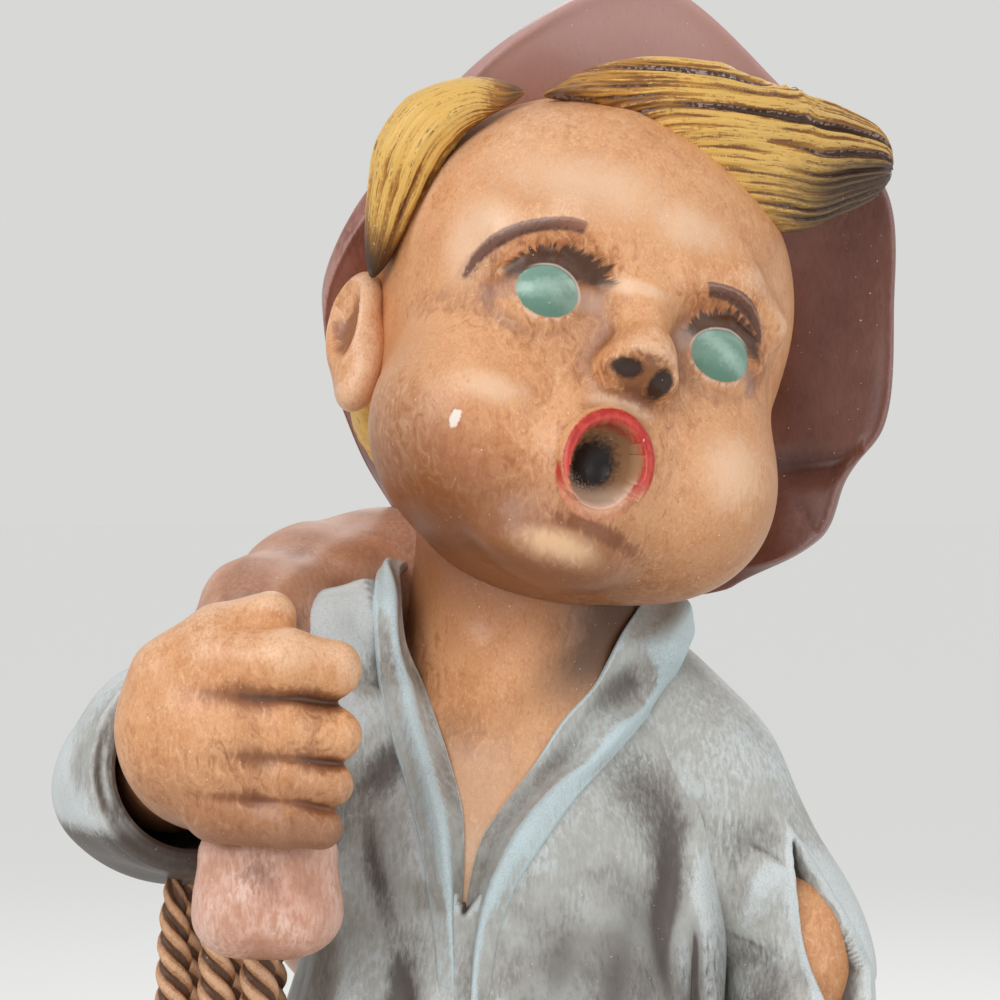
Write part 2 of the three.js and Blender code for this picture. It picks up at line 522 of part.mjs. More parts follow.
// Hair: a forelock swept to his left, a tuft at his right temple, and a cap of it under the hat
const lockPath = curve(vec(-25, -23, 43), vec(-7, -27.5, 49.5), vec(12, -28, 47.5), vec(24, -26, 47.8),
  vec(36, -20, 54), vec(48, -14, 59));
const lockForm = lofted(lockPath,
  (v) => [3 + (LOCK_HALF_HEIGHT - 3) * Math.sin(Math.PI * v ** 1.3), 3.5 + 3.5 * Math.sin(Math.PI * v)],
  { side: vec(0, 0, 1), around: 12, along: 16 });
const tuftForm = lofted(
  curve(vec(-30, -19, 42), vec(-40, -17, 36), vec(-45, -13, 26), vec(-45, -9, 17), vec(-43, -5, 6)),
  (v) => [2 + (TUFT_HALF_WIDTH - 2) * Math.sin(Math.PI * v ** 0.7), 6 - 2 * v],
  { side: vec(1, 0, 0.4), around: 10, along: 10 });
const capForm = sculpted(egg(vec(0, 7.5, 5.5), vec(SKULL_HALF_WIDTH + 3.2, 44, 49)), vec(0, 8, 5),
  { pole: vec(0, 1, 0), around: 18, along: 12 });

// Hat: the brim is a bowed ring from the hat's root to its rim, the crown a cap behind it
const ring = (...points) => new THREE.CatmullRomCurve3(points, true);
const brimRoot = ring(vec(0, -2, 50), vec(22, 0, 46), vec(36, 6, 34), vec(40, 10, 18), vec(40, 14, 4),
  vec(38, 18, -6), vec(34, 22, -16), vec(24, 30, -26), vec(0, 38, -30), vec(-22, 34, -18), vec(-38, 14, 2),
  vec(-38, 4, 30), vec(-22, -1, 45));
const brimRim = ring(vec(-7, -12, 80), vec(26, -10, 69), vec(50, -9, 58.5), vec(60, -3, 36), vec(65, 1, 14),
  vec(61, 4, 3), vec(60, 7, -10), vec(43, 13, -28), vec(0, 52, -34), vec(-28, 44, -24), vec(-45, 12, 4),
  vec(-44, -2, 30), vec(-30, -10, 60));

function brimSurface(u, v, level) {
  const turn = u % 1;
  const root = brimRoot.getPoint(turn);
  const outward = brimRim.getPoint(turn).sub(root);
  const width = outward.length();
  outward.normalize();
  const along = brimRoot.getTangent(turn);
  const up = outward.clone().cross(along).normalize();
  const angle = 2 * Math.PI * (v % 1);
  const share = (1 + Math.cos(angle)) / 2;
  const swell = Math.sign(Math.sin(angle)) * Math.abs(Math.sin(angle)) ** 0.4;
  const point = root.addScaledVector(outward, share * width + level * Math.cos(angle));
  return point.addScaledVector(up, (BRIM_THICKNESS / 2 + level) * swell);
}

const brimSkin = (level = 0) => solid(new THREE.TorusGeometry(1, 0.4, 8, 34), (u, v) => brimSurface(u, v, level));
const crownForm = sculpted(
  carved(12, egg(vec(2, 22, 31), vec(CROWN_HALF_WIDTH, 37, 35)), egg(vec(3, 40, 66), vec(8, 26, 9))),
  vec(2, 22, 28), { around: 20, along: 11 });

const hairline = solid(new THREE.BoxGeometry(slab, slab, slab).translate(0, slab / 2, 0)
  .rotateX(radians(HAIRLINE_LEAN)).translate(0, 8, 0));
const neighbours = [grownShirt, grownChest, grownSack, grown(collarForm(1)), grown(collarForm(-1))].map(inHead);
const ears = bothSides((side) => seated(skin(earForm(side)), grown(headForm)));
const grownEars = bothSides((side) => grown(earForm(side)));
const lock = seated(skin(lockForm), grown(headForm));
const tuft = seated(skin(tuftForm), grown(headForm), grownEars[1]);
const grownHair = [grown(lockForm), grown(tuftForm)];
const cap = seated(skin(capForm).intersect(hairline), grownHead, ...grownHair, ...grownEars, ...neighbours);
const grownCap = grown(capForm).intersect(hairline);
const brim = seated(brimSkin(), grownHead, grownCap, ...grownHair, ...grownEars, ...neighbours);
const crown = seated(skin(crownForm), grownHead, grownCap, brimSkin(SEAM), ...neighbours);

add('base', 'mound', moundOf(0).subtract(moundOf(WALL)).subtract(joined(bores))
  .subtract(solid(new THREE.CylinderGeometry(VENT_RADIUS, VENT_RADIUS, 3 * WALL, 20)
    .rotateX(Math.PI / 2).translate(0, VENT_OFFSET, 0))));
['left', 'right'].forEach((name, i) => {
  add(`${name}_boot`, 'boots', seated(boots[i], grownShins[i], bores[i]));
  add(`${name}_shin`, 'skin', seated(shins[i], bores[i]));
});
add('trousers', 'trousers', seated(trousers, ...grownShins, ...bores));
add('shirt', 'shirt', shirt);
add('neck_and_chest', 'skin', neckAndChest);
add('left_collar', 'shirt', leftCollar);
add('right_collar', 'shirt', rightCollar);
add('left_sleeve', 'shirt', leftSleeve);
add('left_elbow', 'skin', leftElbowSkin);
add('left_hand', 'skin', leftHand);
add('right_sleeve', 'shirt', rightSleeve);
add('right_hand', 'skin', rightHand);
add('sack', 'sack', sack);
add('sack_tail', 'sack', sackTail);
ropeForms.forEach((form, i) => {
  const rope = seated(skin(form), grownSleeve, grownHand, grown(tailForm), grownShirt, grown(hipsForm));
  add(`rope_loop_${i + 1}`, 'rope', rope);
});
add('head', 'skin', head, headGroup);
add('left_ear', 'skin', ears[0], headGroup);
add('right_ear', 'skin', ears[1], headGroup);
add('forelock', 'hair', lock, headGroup);
add('side_tuft', 'hair', tuft, headGroup);
add('back_hair', 'hair', cap, headGroup);
add('hat_brim', 'hat', brim, headGroup);
add('hat_crown', 'hat', crown, headGroup);

export default figurine;
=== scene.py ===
"""A hand-painted ceramic figurine of a calling boy, dressed around its packed castings.

Each piece is one closed surface, worked out on a grid of rows from pole to pole and columns round them. It is
in millimetres in the frame of the castings: +Z up, the boy facing -Y and +X to his left. Its mesh is in
metres.
"""
import math

import bpy
import numpy as np
from bpy.props import FloatProperty, FloatVectorProperty, IntProperty, PointerProperty
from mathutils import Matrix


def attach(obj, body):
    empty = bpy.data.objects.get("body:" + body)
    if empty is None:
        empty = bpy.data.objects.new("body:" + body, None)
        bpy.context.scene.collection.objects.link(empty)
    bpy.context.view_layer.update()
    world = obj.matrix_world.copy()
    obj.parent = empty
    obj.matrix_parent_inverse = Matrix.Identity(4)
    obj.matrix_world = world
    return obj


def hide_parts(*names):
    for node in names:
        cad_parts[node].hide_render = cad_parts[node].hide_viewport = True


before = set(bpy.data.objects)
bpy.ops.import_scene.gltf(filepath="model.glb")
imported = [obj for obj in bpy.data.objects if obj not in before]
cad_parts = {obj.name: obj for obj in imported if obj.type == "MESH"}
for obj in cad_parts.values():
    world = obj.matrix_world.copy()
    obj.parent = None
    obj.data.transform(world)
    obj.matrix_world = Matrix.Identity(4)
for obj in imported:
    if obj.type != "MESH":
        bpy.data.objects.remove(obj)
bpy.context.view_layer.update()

bl_info = {
    "name": "Ceramic Figurine",
    "version": (1, 0, 0),
    "blender": (4, 5, 0),
    "location": "View3D > Sidebar > Figurine",
    "description": "Models and paints a ceramic figurine of a calling boy over its castings",
    "category": "Object",
}

MM = 0.001
UP = (0, 0, 1)
LEFT = (1, 0, 0)
FORWARD = (0, -1, 0)

# The castings' own places and sizes, in millimetres
BASE_HALF_LENGTH, BASE_HALF_DEPTH, BASE_HEIGHT, BASE_EDGE = 79, 64, 24, 12
STANCE, TOE_OUT, BOOT_LENGTH, BOOT_RADIUS, BOOT_HEIGHT = 23, 14, 58, 13, 26
SHIN_RADIUS, CUFF_HEIGHT, CUFF_RADIUS, KNEE_HEIGHT, KNEE_RADIUS = 10.5, 76, 19, 106, 18
HIP_HEIGHT, THIGH_RADIUS, SHIRT_HEM = 174, 21, 192
LEFT_SHOULDER = np.array([36.0, 4, 269])
RIGHT_SHOULDER = np.array([-31.0, 4, 280])
YOKE_INNER, YOKE_OUTER, YOKE_RADIUS = (-25, -8, 303), (-36, -12, 299), 8
NECK_FOOT, NECK_TOP, NECK_RADIUS = np.array([3.0, 3, 272]), np.array([6.0, 2, 328]), 21.5
CLOTH, CHEST_FOOT = 3.2, 248
OPENING_FOOT, OPENING_TOP = np.array([-5.0, 257]), 305
OPENING_RIGHT, OPENING_LEFT = -19, 31
FIST = np.array([-50.0, -57, 287])
CUFF = np.array([-57.0, -38, 277])
RIGHT_ELBOW = np.array([-65.0, -11, 274])
ELBOW_RADIUS, CUFF_RIM = 21, 20
LEFT_ELBOW = np.array([57.0, 3, 238])
LEFT_SLEEVE_RADIUS = 16
ARMPIT_CREASE = ((36.5, -14, 270), (37.6, -15, 256), (38.5, -16, 240))
POCKET = np.array([38.0, -22, 186])
SACK_CENTRE = np.array([-14.0, 44, 264])
ROPE_RADIUS, ROPE_SPACING, ROPE_DROP = 3.4, 7.8, 92
HEAD_AT = np.array([13.0, -3, 349])
HEAD_LEAN = tuple(math.radians(angle) for angle in (-13, 19, 14))
SKULL_HALF_WIDTH, EYE_SPACING, EYE_LEVEL = 40, 34.6, 1.3
MOUTH = np.array([0.4, -41, -27.2])
MOUTH_HALF_WIDTH, MOUTH_HALF_HEIGHT, MOUTH_DEPTH, LIP_RADIUS = 7.4, 8.6, 7.5, 1.4
BRIM_THICKNESS = 4.6

# The longest ray of a cast surface, and how often it is halved to find the place
RAY_LENGTH, HALVINGS = 120.0, 19

# The camera's place in metres, and its lens and sensor in millimetres
CAMERA_PLACE, CAMERA_LENS, SENSOR_WIDTH = (0, -0.62, 0.326), 116, 36

# Where the lamps aim, in metres
LAMP_AIM = (0.0, 0.0, 0.3)


def tone(text):
    """A colour written as six hex digits, as linear red, green and blue."""
    shares = [int(text[i:i + 2], 16) / 255 for i in (0, 2, 4)]
    return [s / 12.92 if s <= 0.04045 else ((s + 0.055) / 1.055) ** 2.4 for s in shares]


def colour(name, description, text):
    return FloatVectorProperty(name=name, description=description, default=tone(text), size=3, min=0, max=1,
                               subtype="COLOR")


def millimetres(name, description, value):
    return FloatProperty(name=name, description=description, default=value * MM, min=0, unit="LENGTH",
                         precision=4)


def watts(name, description, value):
    return FloatProperty(name=name, description=description, default=value, unit="POWER")


class ModellingSizes(bpy.types.PropertyGroup):
    """Sizes of the detail that is modelled on the castings."""
    eye_width: millimetres("Eye width", "Width of each painted eye", 11.6)
    eye_height: millimetres("Eye height", "Height of each painted eye", 9.2)
    lip_line: millimetres("Lip line", "Width of the red line round the mouth", 2.4)
    brow_line: millimetres("Brow line", "Width of each painted brow", 2.4)
    strand_depth: millimetres("Strand depth", "Depth of the combed grooves in the hair", 1.5)
    fold_depth: millimetres("Fold depth", "Depth of the main folds in the cloth", 2.6)
    finger_groove: millimetres("Finger groove", "Depth of the slits between the fingers", 4.0)
    rope_pitch: millimetres("Rope pitch", "Length of one turn of the rope's strands", 15.5)
    strands: IntProperty(name="Strands", description="Strands in each rope", default=3, min=2, max=6)


class PaintColours(bpy.types.PropertyGroup):
    """Colours of the paint, each with the stain in its recesses and the dry brushing on its ridges. The
    stains of the skin, shirt, hair and hat also give their painted shade, and the skin's and hat's light
    colours their painted highlights and painted light.
    """
    skin: colour("Skin", "Skin colour on even ground", "dda273")
    # Also the painted shade on the face, the chest and the hands
    skin_stain_and_shade: colour("Skin stain", "Brown stain in the skin's recesses", "7c4524")
    # Also the painted highlights on the face and the painted light low on the chest
    skin_dry_brush_and_highlight: colour("Skin light", "Pinkish dry brushing on the skin's ridges", "efcaa9")
    eyes: colour("Eyes", "Blank green eyes", "76998a")
    lips: colour("Lips", "Red line round the mouth", "b32a24")
    lashes: colour("Lashes", "Dark paint of the lashes and nostrils", "27140d")
    brows: colour("Brows", "Paint of the brows", "623c2f")
    shirt: colour("Shirt", "Shirt colour on even ground", "adaca6")
    # Also the painted shade on the shirt and the sleeves
    shirt_stain_and_shade: colour("Shirt stain", "Brown stain in the shirt's folds", "43352e")
    shirt_light: colour("Shirt light", "Pale blue dry brushing on the folds", "d6dfe1")
    hair: colour("Hair", "Golden hair", "b98235")
    # Also the painted shade on the hair
    hair_stain_and_shade: colour("Hair stain", "Dark stain in the combed grooves", "38200f")
    hair_light: colour("Hair light", "Yellow dry brushing on the strands", "ecc067")
    hat: colour("Hat", "Hat colour on even ground", "8b5546")
    # Also the painted shade inside the brim
    hat_stain_and_shade: colour("Hat stain", "Dark stain in the hat's creases", "46251c")
    # Also the painted light on the top of the hat
    hat_dry_brush_and_top_light: colour("Hat light", "Pale dry brushing on the hat", "c09890")
    sack: colour("Sack", "Sack colour on even ground", "bf8a6b")
    sack_stain: colour("Sack stain", "Stain in the sack's folds", "6a3d2a")
    sack_light: colour("Sack light", "Pale dry brushing on the sack", "e6c3b2")
    rope: colour("Rope", "Rope colour", "c18b61")
    rope_stain: colour("Rope stain", "Stain between the strands", "3c2113")
    rope_light: colour("Rope light", "Dry brushing on the strands", "e2b893")
    trousers: colour("Trousers", "Trouser colour", "474a5c")
    boots: colour("Boots", "Boot colour", "53301f")
    mound: colour("Mound", "Mossy ground colour", "646044")


class StageSettings(bpy.types.PropertyGroup):
    """The plain stage."""
    floor_radius: FloatProperty(name="Floor radius", description="Radius of the pale floor", default=40,
                                unit="LENGTH")
    floor: colour("Floor", "Floor colour", "dcdcda")
    key_light: watts("Key light", "Power of the key light", 12.2)
    fill_light: watts("Fill light", "Power of the fill light", 4.6)
    back_light: watts("Back light", "Power of the back light", 5)
    daylight: FloatProperty(name="Daylight", description="Strength of the even light", default=0.64, min=0)


# Fields: a field gives each point's rough distance to a surface, and is negative inside it

def length(q):
    """The length of each vector in an array of them."""
    return np.sqrt(np.einsum("...i,...i->...", q, q))


def unit(q):
    return q / np.maximum(length(q), 1e-9)[..., None]


def egg(centre, radii):
    """An oval ball: k (k - 1) / l, with k the offset over the radii and l the offset over their squares."""
    centre, radii = np.asarray(centre, float), np.asarray(radii, float)

    def field(p):
        q = (p - centre) / radii
        outer = length(q)
        return outer * (outer - 1) / np.maximum(length(q / radii), 1e-6)
    return field


def rod(start, end, start_radius, end_radius):
    """A round bar: the distance to the line between its ends, less the radius there."""
    start, along = np.asarray(start, float), np.asarray(end, float) - start

    def field(p):
        share = np.clip((p - start) @ along / (along @ along), 0, 1)
        radius = start_radius + (end_radius - start_radius) * share
        return length(p - start - share[..., None] * along) - radius
    return field


def block(centre, half, rounding):
    """A box with round edges: the distance to a smaller box, less the rounding."""
    half = np.asarray(half, float) - rounding

    def field(p):
        q = np.abs(p - centre) - half
        return length(np.maximum(q, 0)) + np.minimum(q.max(-1), 0) - rounding
    return field


def hoop(centre, half_width, half_height, radius):
    """An oval ring across Y: the distance to the oval line, less the bar's radius."""
    def field(p):
        reach = np.hypot((p[..., 0] - centre[0]) / half_width, (p[..., 2] - centre[2]) / half_height)
        return np.hypot((reach - 1) * min(half_width, half_height), p[..., 1] - centre[1]) - radius
    return field


def smooth_min(a, b, soft):
    """The lesser of two distances, less a round fillet where they are within `soft` of each other."""
    return np.minimum(a, b) - np.maximum(soft - np.abs(a - b), 0) ** 2 / (4 * soft)


def smooth_max(a, b, soft):
    """The greater of two distances, with the same fillet."""
    return -smooth_min(-a, -b, soft)


def blend(soft, *fields):
    def field(p):
        total = fields[0](p)
        for other in fields[1:]:
            total = smooth_min(total, other(p), soft)
        return total
    return field


def carved(soft, body, *cuts):
    def field(p):
        total = body(p)
        for cut in cuts:
            total = smooth_max(total, -cut(p), soft)
        return total
    return field


def limb(soft, *stops):
    """Round bars from stop to stop, each stop a point and a radius."""
    return blend(soft, *[rod(a[0], b[0], a[1], b[1]) for a, b in zip(stops, stops[1:])])


def step(value, low, high):
    """0 below low, 1 above high and the smooth cubic between."""
    share = np.clip((value - low) / (high - low), 0, 1)
    return share * share * (3 - 2 * share)


def bump(distance, width):
    """A bell of height 1: e to the minus square of the distance over the width."""
    return np.exp(-(distance / width) ** 2)


def rough(p, size, seed):
    """Gentle unevenness from -1 to 1: the mean of nine sine waves in seeded directions."""
    draw = np.random.default_rng(seed)
    waves = draw.normal(size=(9, 3)) / size
    turns = draw.uniform(0, 2 * math.pi, 9)
    return np.sin(np.einsum("...i,ki->...k", p, waves) * 2 + turns).mean(-1) * 1.6


# Paths

def curve(*points, closed=False):
    """A path through the points: cubics whose slopes weigh each step by the root of its length."""
    knots = np.array(points, float)
    if closed:
        knots = np.vstack([knots[-1:], knots, knots[:2]])
    else:
        knots = np.vstack([2 * knots[0] - knots[1], knots, 2 * knots[-1] - knots[-2]])
    spans = len(knots) - 3

    def at(t):
        t = np.asarray(t, float) % 1 if closed else np.clip(np.asarray(t, float), 0, 1)
        first = np.minimum((t * spans).astype(int), spans - 1)
        w = (t * spans - first)[..., None]
        a, b, c, d = (knots[first + k] for k in range(4))
        ab, bc, cd = (np.sqrt(np.maximum(length(q), 1e-4))[..., None] for q in (b - a, c - b, d - c))
        leave = ((b - a) / ab - (c - a) / (ab + bc) + (c - b) / bc) * bc
        arrive = ((c - b) / bc - (d - b) / (bc + cd) + (d - c) / cd) * bc
        return (2 * w ** 3 - 3 * w ** 2 + 1) * b + (w ** 3 - 2 * w ** 2 + w) * leave \
            + (3 * w ** 2 - 2 * w ** 3) * c + (w ** 3 - w ** 2) * arrive
    return at


def slope(path, t):
    return unit(path(t + 1e-4) - path(t - 1e-4))


def near_path(p, path, parts=16):
    """The distance from each point to a path, and the share of the path where it is nearest."""
    stops = path(np.linspace(0, 1, parts + 1))
    best = np.full(p.shape[:-1], 1e9)
    where = np.zeros(p.shape[:-1])
    for i in range(parts):
        along = stops[i + 1] - stops[i]
        share = np.clip((p - stops[i]) @ along / (along @ along), 0, 1)
        gap = length(p - stops[i] - share[..., None] * along)
        where = np.where(gap < best, (i + share) / parts, where)
        best = np.minimum(best, gap)
    return best, where


def fold(p, path, height, width):
    """A ridge along a path, or a furrow for a negative height, that fades out at both of its ends."""
    gap, where = near_path(p, path)
    return height * bump(gap, width) * np.sqrt(np.maximum(np.sin(math.pi * where), 0))


# Surfaces on grids: rows run from pole to pole, columns go round

def cast(field, start, ray, level=0.0):
    """Where each ray from inside a field reaches a level of it, by halving the stretch again and again."""
    near = np.zeros(ray.shape[:-1])
    far = np.full(ray.shape[:-1], RAY_LENGTH)
    for _ in range(HALVINGS):
        middle = (near + far) / 2
        inside = field(start + ray * middle[..., None]) < level
        near, far = np.where(inside, middle, near), np.where(inside, far, middle)
    return start + ray * near[..., None]


def fan(turn, lean, axis, side):
    """Rays at a turn about an axis from a side, that lean towards the axis."""
    across = unit(side - axis * (axis * side).sum(-1, keepdims=True))
    third = np.cross(across, axis)
    ray = across * np.cos(turn)[..., None] + third * np.sin(turn)[..., None]
    return ray * np.cos(lean)[..., None] + axis * np.sin(lean)[..., None]


def grid(columns, rows):
    return np.meshgrid(np.arange(columns) / columns, np.linspace(0, 1, rows + 1))


def around_point(field, core, pole=UP, side=LEFT, spread=1.0, bias=0.0, columns=240, rows=160):
    """A field's surface seen from a point. A spread above 1 draws the rows to the first pole, a bias the
    columns to a quarter turn."""
    u, v = grid(columns, rows)
    axis = np.broadcast_to(-unit(np.array(pole, float)), u.shape + (3,))
    turn = 2 * math.pi * u + bias * np.cos(2 * math.pi * u) - bias
    ray = fan(turn, math.pi * (v ** spread - 0.5), axis, np.array(side, float))
    return cast(field, np.array(core, float), ray)


def along_path(field, path, side=LEFT, caps=(0.15, 0.15), columns=160, rows=160):
    """A field's surface seen squarely from a path. Over the caps' shares of the rows the rays fan out from
    the path's ends."""
    u, v = grid(columns, rows)
    first, last = caps
    lean = np.clip((v - 1 + last) / last, 0, 1) - np.clip((first - v) / first, 0, 1)
    t = np.clip((v - first) / (1 - first - last), 0, 1)
    ray = fan(2 * math.pi * u, 0.5 * math.pi * lean, slope(path, t), np.array(side, float))
    return cast(field, path(t), ray)


def drawn_to_ends(v):
    """Shares of a path for even rows, closer together at both of its ends."""
    return 0.35 * v + 0.65 * (1 - np.cos(math.pi * v)) / 2


def bar(path, girth, side=UP, blunt=8, columns=64, rows=160):
    """An oval bar along a path: half-widths along `side` and across it from girth(share), with round ends."""
    u, v = grid(columns, rows)
    v = drawn_to_ends(v)
    axis = slope(path, v)
    across = unit(np.array(side, float) - axis * (axis * np.array(side, float)).sum(-1, keepdims=True))
    width, thickness = girth(v)
    cap = np.sqrt(np.maximum(1 - np.abs(2 * v - 1) ** blunt, 0))
    cap[0], cap[-1] = 0, 0
    return path(v) + across * (width * cap * np.cos(2 * math.pi * u))[..., None] \
        + np.cross(across, axis) * (thickness * cap * np.sin(2 * math.pi * u))[..., None]


def round_bar(path, radius, side, blunt, columns, rows):
    """A bar of round section, whose radius comes from radius(share)."""
    return bar(path, lambda t: (radius(t), radius(t)), side, blunt, columns, rows)


def lapel(inner, outer, side, ridge, height, columns=84, rows=300):
    """A turned-back band between two paths. Round its section the share across goes (1 - cos) / 2. Its face
    swells to a soft ridge at one share and its back lies flat."""
    u, v = grid(columns, rows)
    angle = 2 * math.pi * u
    share = (1 - np.cos(angle)) / 2
    swell = np.abs(np.sin(angle)) ** 0.5
    across = outer(v) - inner(v)
    out = -side * unit(np.cross(across, slope(inner, v)))
    cap = np.sqrt(np.maximum(1 - np.abs(2 * v - 1) ** 30, 0))
    cap[0], cap[-1] = 0, 0
    narrow = np.clip(length(across) / 9, 0.5, 1)
    face = 0.9 + height * narrow * bump(share - ridge, 0.26)
    level = np.where(np.sin(angle) * side > 0, face, -1.5) * swell
    middle = (inner(v) + outer(v)) / 2
    return middle + across * ((share - 0.5) * cap)[..., None] + out * (level * cap)[..., None]


def tiled(points, ring):
    """The grid repeated past its poles, where the rows come back on the far side, or the ring as it is."""
    if ring:
        return points
    return np.concatenate([points, np.roll(points[::-1], points.shape[1] // 2, axis=1)])


def facing(points, ring=False):
    """Outward directions, by the cross product of the steps round and along, and whether those face out."""
    rows = len(points)
    whole = tiled(points, ring)
    around = np.roll(whole, -1, 1) - np.roll(whole, 1, 1)
    along = np.roll(whole, -1, 0) - np.roll(whole, 1, 0)
    normal = np.cross(around, along)[:rows]
    if not ring:
        normal[0] = normal[1].mean(0)
        normal[-1] = normal[-2].mean(0)
    outward = ((points - points.mean((0, 1))) * normal).sum() > 0
    return unit(normal) * (1 if outward else -1), outward


def soften(points, width, ring=False):
    """The grid blurred by a bell of a width in millimetres, as a product of its waves with that bell's."""
    rows = len(points)
    whole = tiled(points, ring)
    step_along = max(length(np.roll(whole, -1, 0) - whole).mean(), 1e-3)
    step_round = max(length(np.roll(whole, -1, 1) - whole).mean(), 1e-3)
    waves_along = np.fft.fftfreq(whole.shape[0])[:, None, None] * width / step_along
    waves_round = np.fft.rfftfreq(whole.shape[1])[None, :, None] * width / step_round
    bell = np.exp(-2 * math.pi ** 2 * (waves_along ** 2 + waves_round ** 2))
    return np.fft.irfft2(np.fft.rfft2(whole, axes=(0, 1)) * bell, s=whole.shape[:2], axes=(0, 1))[:rows]


def pushed(points, amount, ring=False):
    """The surface moved outwards by an amount at each point."""
    return points + facing(points, ring)[0] * amount[..., None]


def lift_of(points, ring=False):
    """How far each point stands proud of its softened surroundings, in millimetres: above 0 on ridges."""
    out = facing(points, ring)[0]
    total = np.zeros(points.shape[:2])
    for width, weight in ((0.9, 1.0), (3.0, 0.4), (8.0, 0.16)):
        proud = ((points - soften(points, width, ring)) * out).sum(-1)
        total += weight * (proud - np.median(proud))
    return total


# Meshes

def closed_mesh(name, points, ring):
    """Triangles over the grid, with one vertex at each pole, or none for a ring that closes both ways."""
    rows, columns = points.shape[:2]
    if ring:
        index = np.arange(rows * columns).reshape(rows, columns)
        index = np.vstack([index, index[:1]])
        vertices = points.reshape(-1, 3)
        triangles = []
    else:
        index = 1 + np.arange((rows - 2) * columns).reshape(rows - 2, columns)
        vertices = np.vstack([points[0, :1], points[1:-1].reshape(-1, 3), points[-1, :1]])
        first, last = index[0], index[-1]
        pole = np.full(columns, len(vertices) - 1)
        triangles = [np.stack([np.zeros(columns, int), np.roll(first, -1), first], -1),
                     np.stack([pole, last, np.roll(last, -1)], -1)]
    a, b = index[:-1], index[1:]
    c, d = np.roll(b, -1, 1), np.roll(a, -1, 1)
    triangles += [np.stack([a, d, b], -1).reshape(-1, 3), np.stack([d, c, b], -1).reshape(-1, 3)]
    triangles = np.vstack(triangles)
    if not facing(points, ring)[1]:
        triangles = triangles[:, ::-1]
    mesh = bpy.data.meshes.new(name)
    mesh.vertices.add(len(vertices))
    mesh.vertices.foreach_set("co", (vertices * MM).astype(np.float32).ravel())
    mesh.loops.add(triangles.size)
    mesh.loops.foreach_set("vertex_index", triangles.astype(np.int32).ravel())
    mesh.polygons.add(len(triangles))
    mesh.polygons.foreach_set("loop_start", np.arange(0, triangles.size, 3, dtype=np.int32))
    mesh.polygons.foreach_set("use_smooth", np.ones(len(triangles), bool))
    mesh.update(calc_edges=True)
    return mesh


def per_vertex(values, ring):
    """A grid of values in the order of the mesh's vertices."""
    flat = values.reshape(values.shape[0] * values.shape[1], -1)
    if ring:
        return flat
    columns = values.shape[1]
    return np.vstack([flat[:1], flat[columns:-columns], flat[-1:]])


def dress(node, points, slot, material, ring=False, **grids):
    """Stands a painted piece for a casting. The grids become attributes of its vertices, with its lift."""
    piece = bpy.data.objects.new(f"fired_{node}", closed_mesh(f"fired_{node}", points, ring))
    bpy.context.scene.collection.objects.link(piece)
    for name, values in dict(grids, lift=lift_of(points, ring)).items():
        kind = "FLOAT_VECTOR" if values.ndim == 3 else "FLOAT"
        layer = piece.data.attributes.new(name, kind, "POINT")
        data = per_vertex(values, ring).astype(np.float32).ravel()
        layer.data.foreach_set("vector" if values.ndim == 3 else "value", data)
    piece.data.materials.append(material)
    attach(piece, "root")
    return piece


# Paint

class Number:
    """A number on a socket. Its operators add Math nodes, with plain numbers on either side."""

    def __init__(self, paint, socket):
        self.paint = paint
        self.socket = socket

    def math(self, operation, *values):
        node = self.paint.node("ShaderNodeMath", {"operation": operation}, dict(enumerate(values)))
        return Number(self.paint, node.outputs[0])

    def __add__(self, other):
        return self.math("ADD", self, other)

    def __radd__(self, other):
        return self.math("ADD", other, self)

    def __sub__(self, other):
        return self.math("SUBTRACT", self, other)

    def __rsub__(self, other):
        return self.math("SUBTRACT", other, self)

    def __mul__(self, other):
        return self.math("MULTIPLY", self, other)

    def __rmul__(self, other):
        return self.math("MULTIPLY", other, self)

    def __truediv__(self, other):
        return self.math("DIVIDE", self, other)

    def size(self):
        return self.math("ABSOLUTE", self)

    def hypot(self, other):
        square = self * self + other * other
        return square.math("SQRT", square)

    def turn(self, across):
        return self.math("ARCTAN2", self, across)

    def larger(self, other):
        return self.math("MAXIMUM", self, other)

    def fade(self, low, high):
        """0 at low, 1 at high and smooth between, for a low above the high too."""
        node = self.paint.node("ShaderNodeMapRange", {"interpolation_type": "SMOOTHSTEP"},
                               {"Value": self, "From Min": low, "From Max": high})
        return Number(self.paint, node.outputs[0])

    def near(self, middle, width):
        """1 at the middle, fading to 0 a width to each side of it."""
        return (self - middle).size().fade(width, 0)


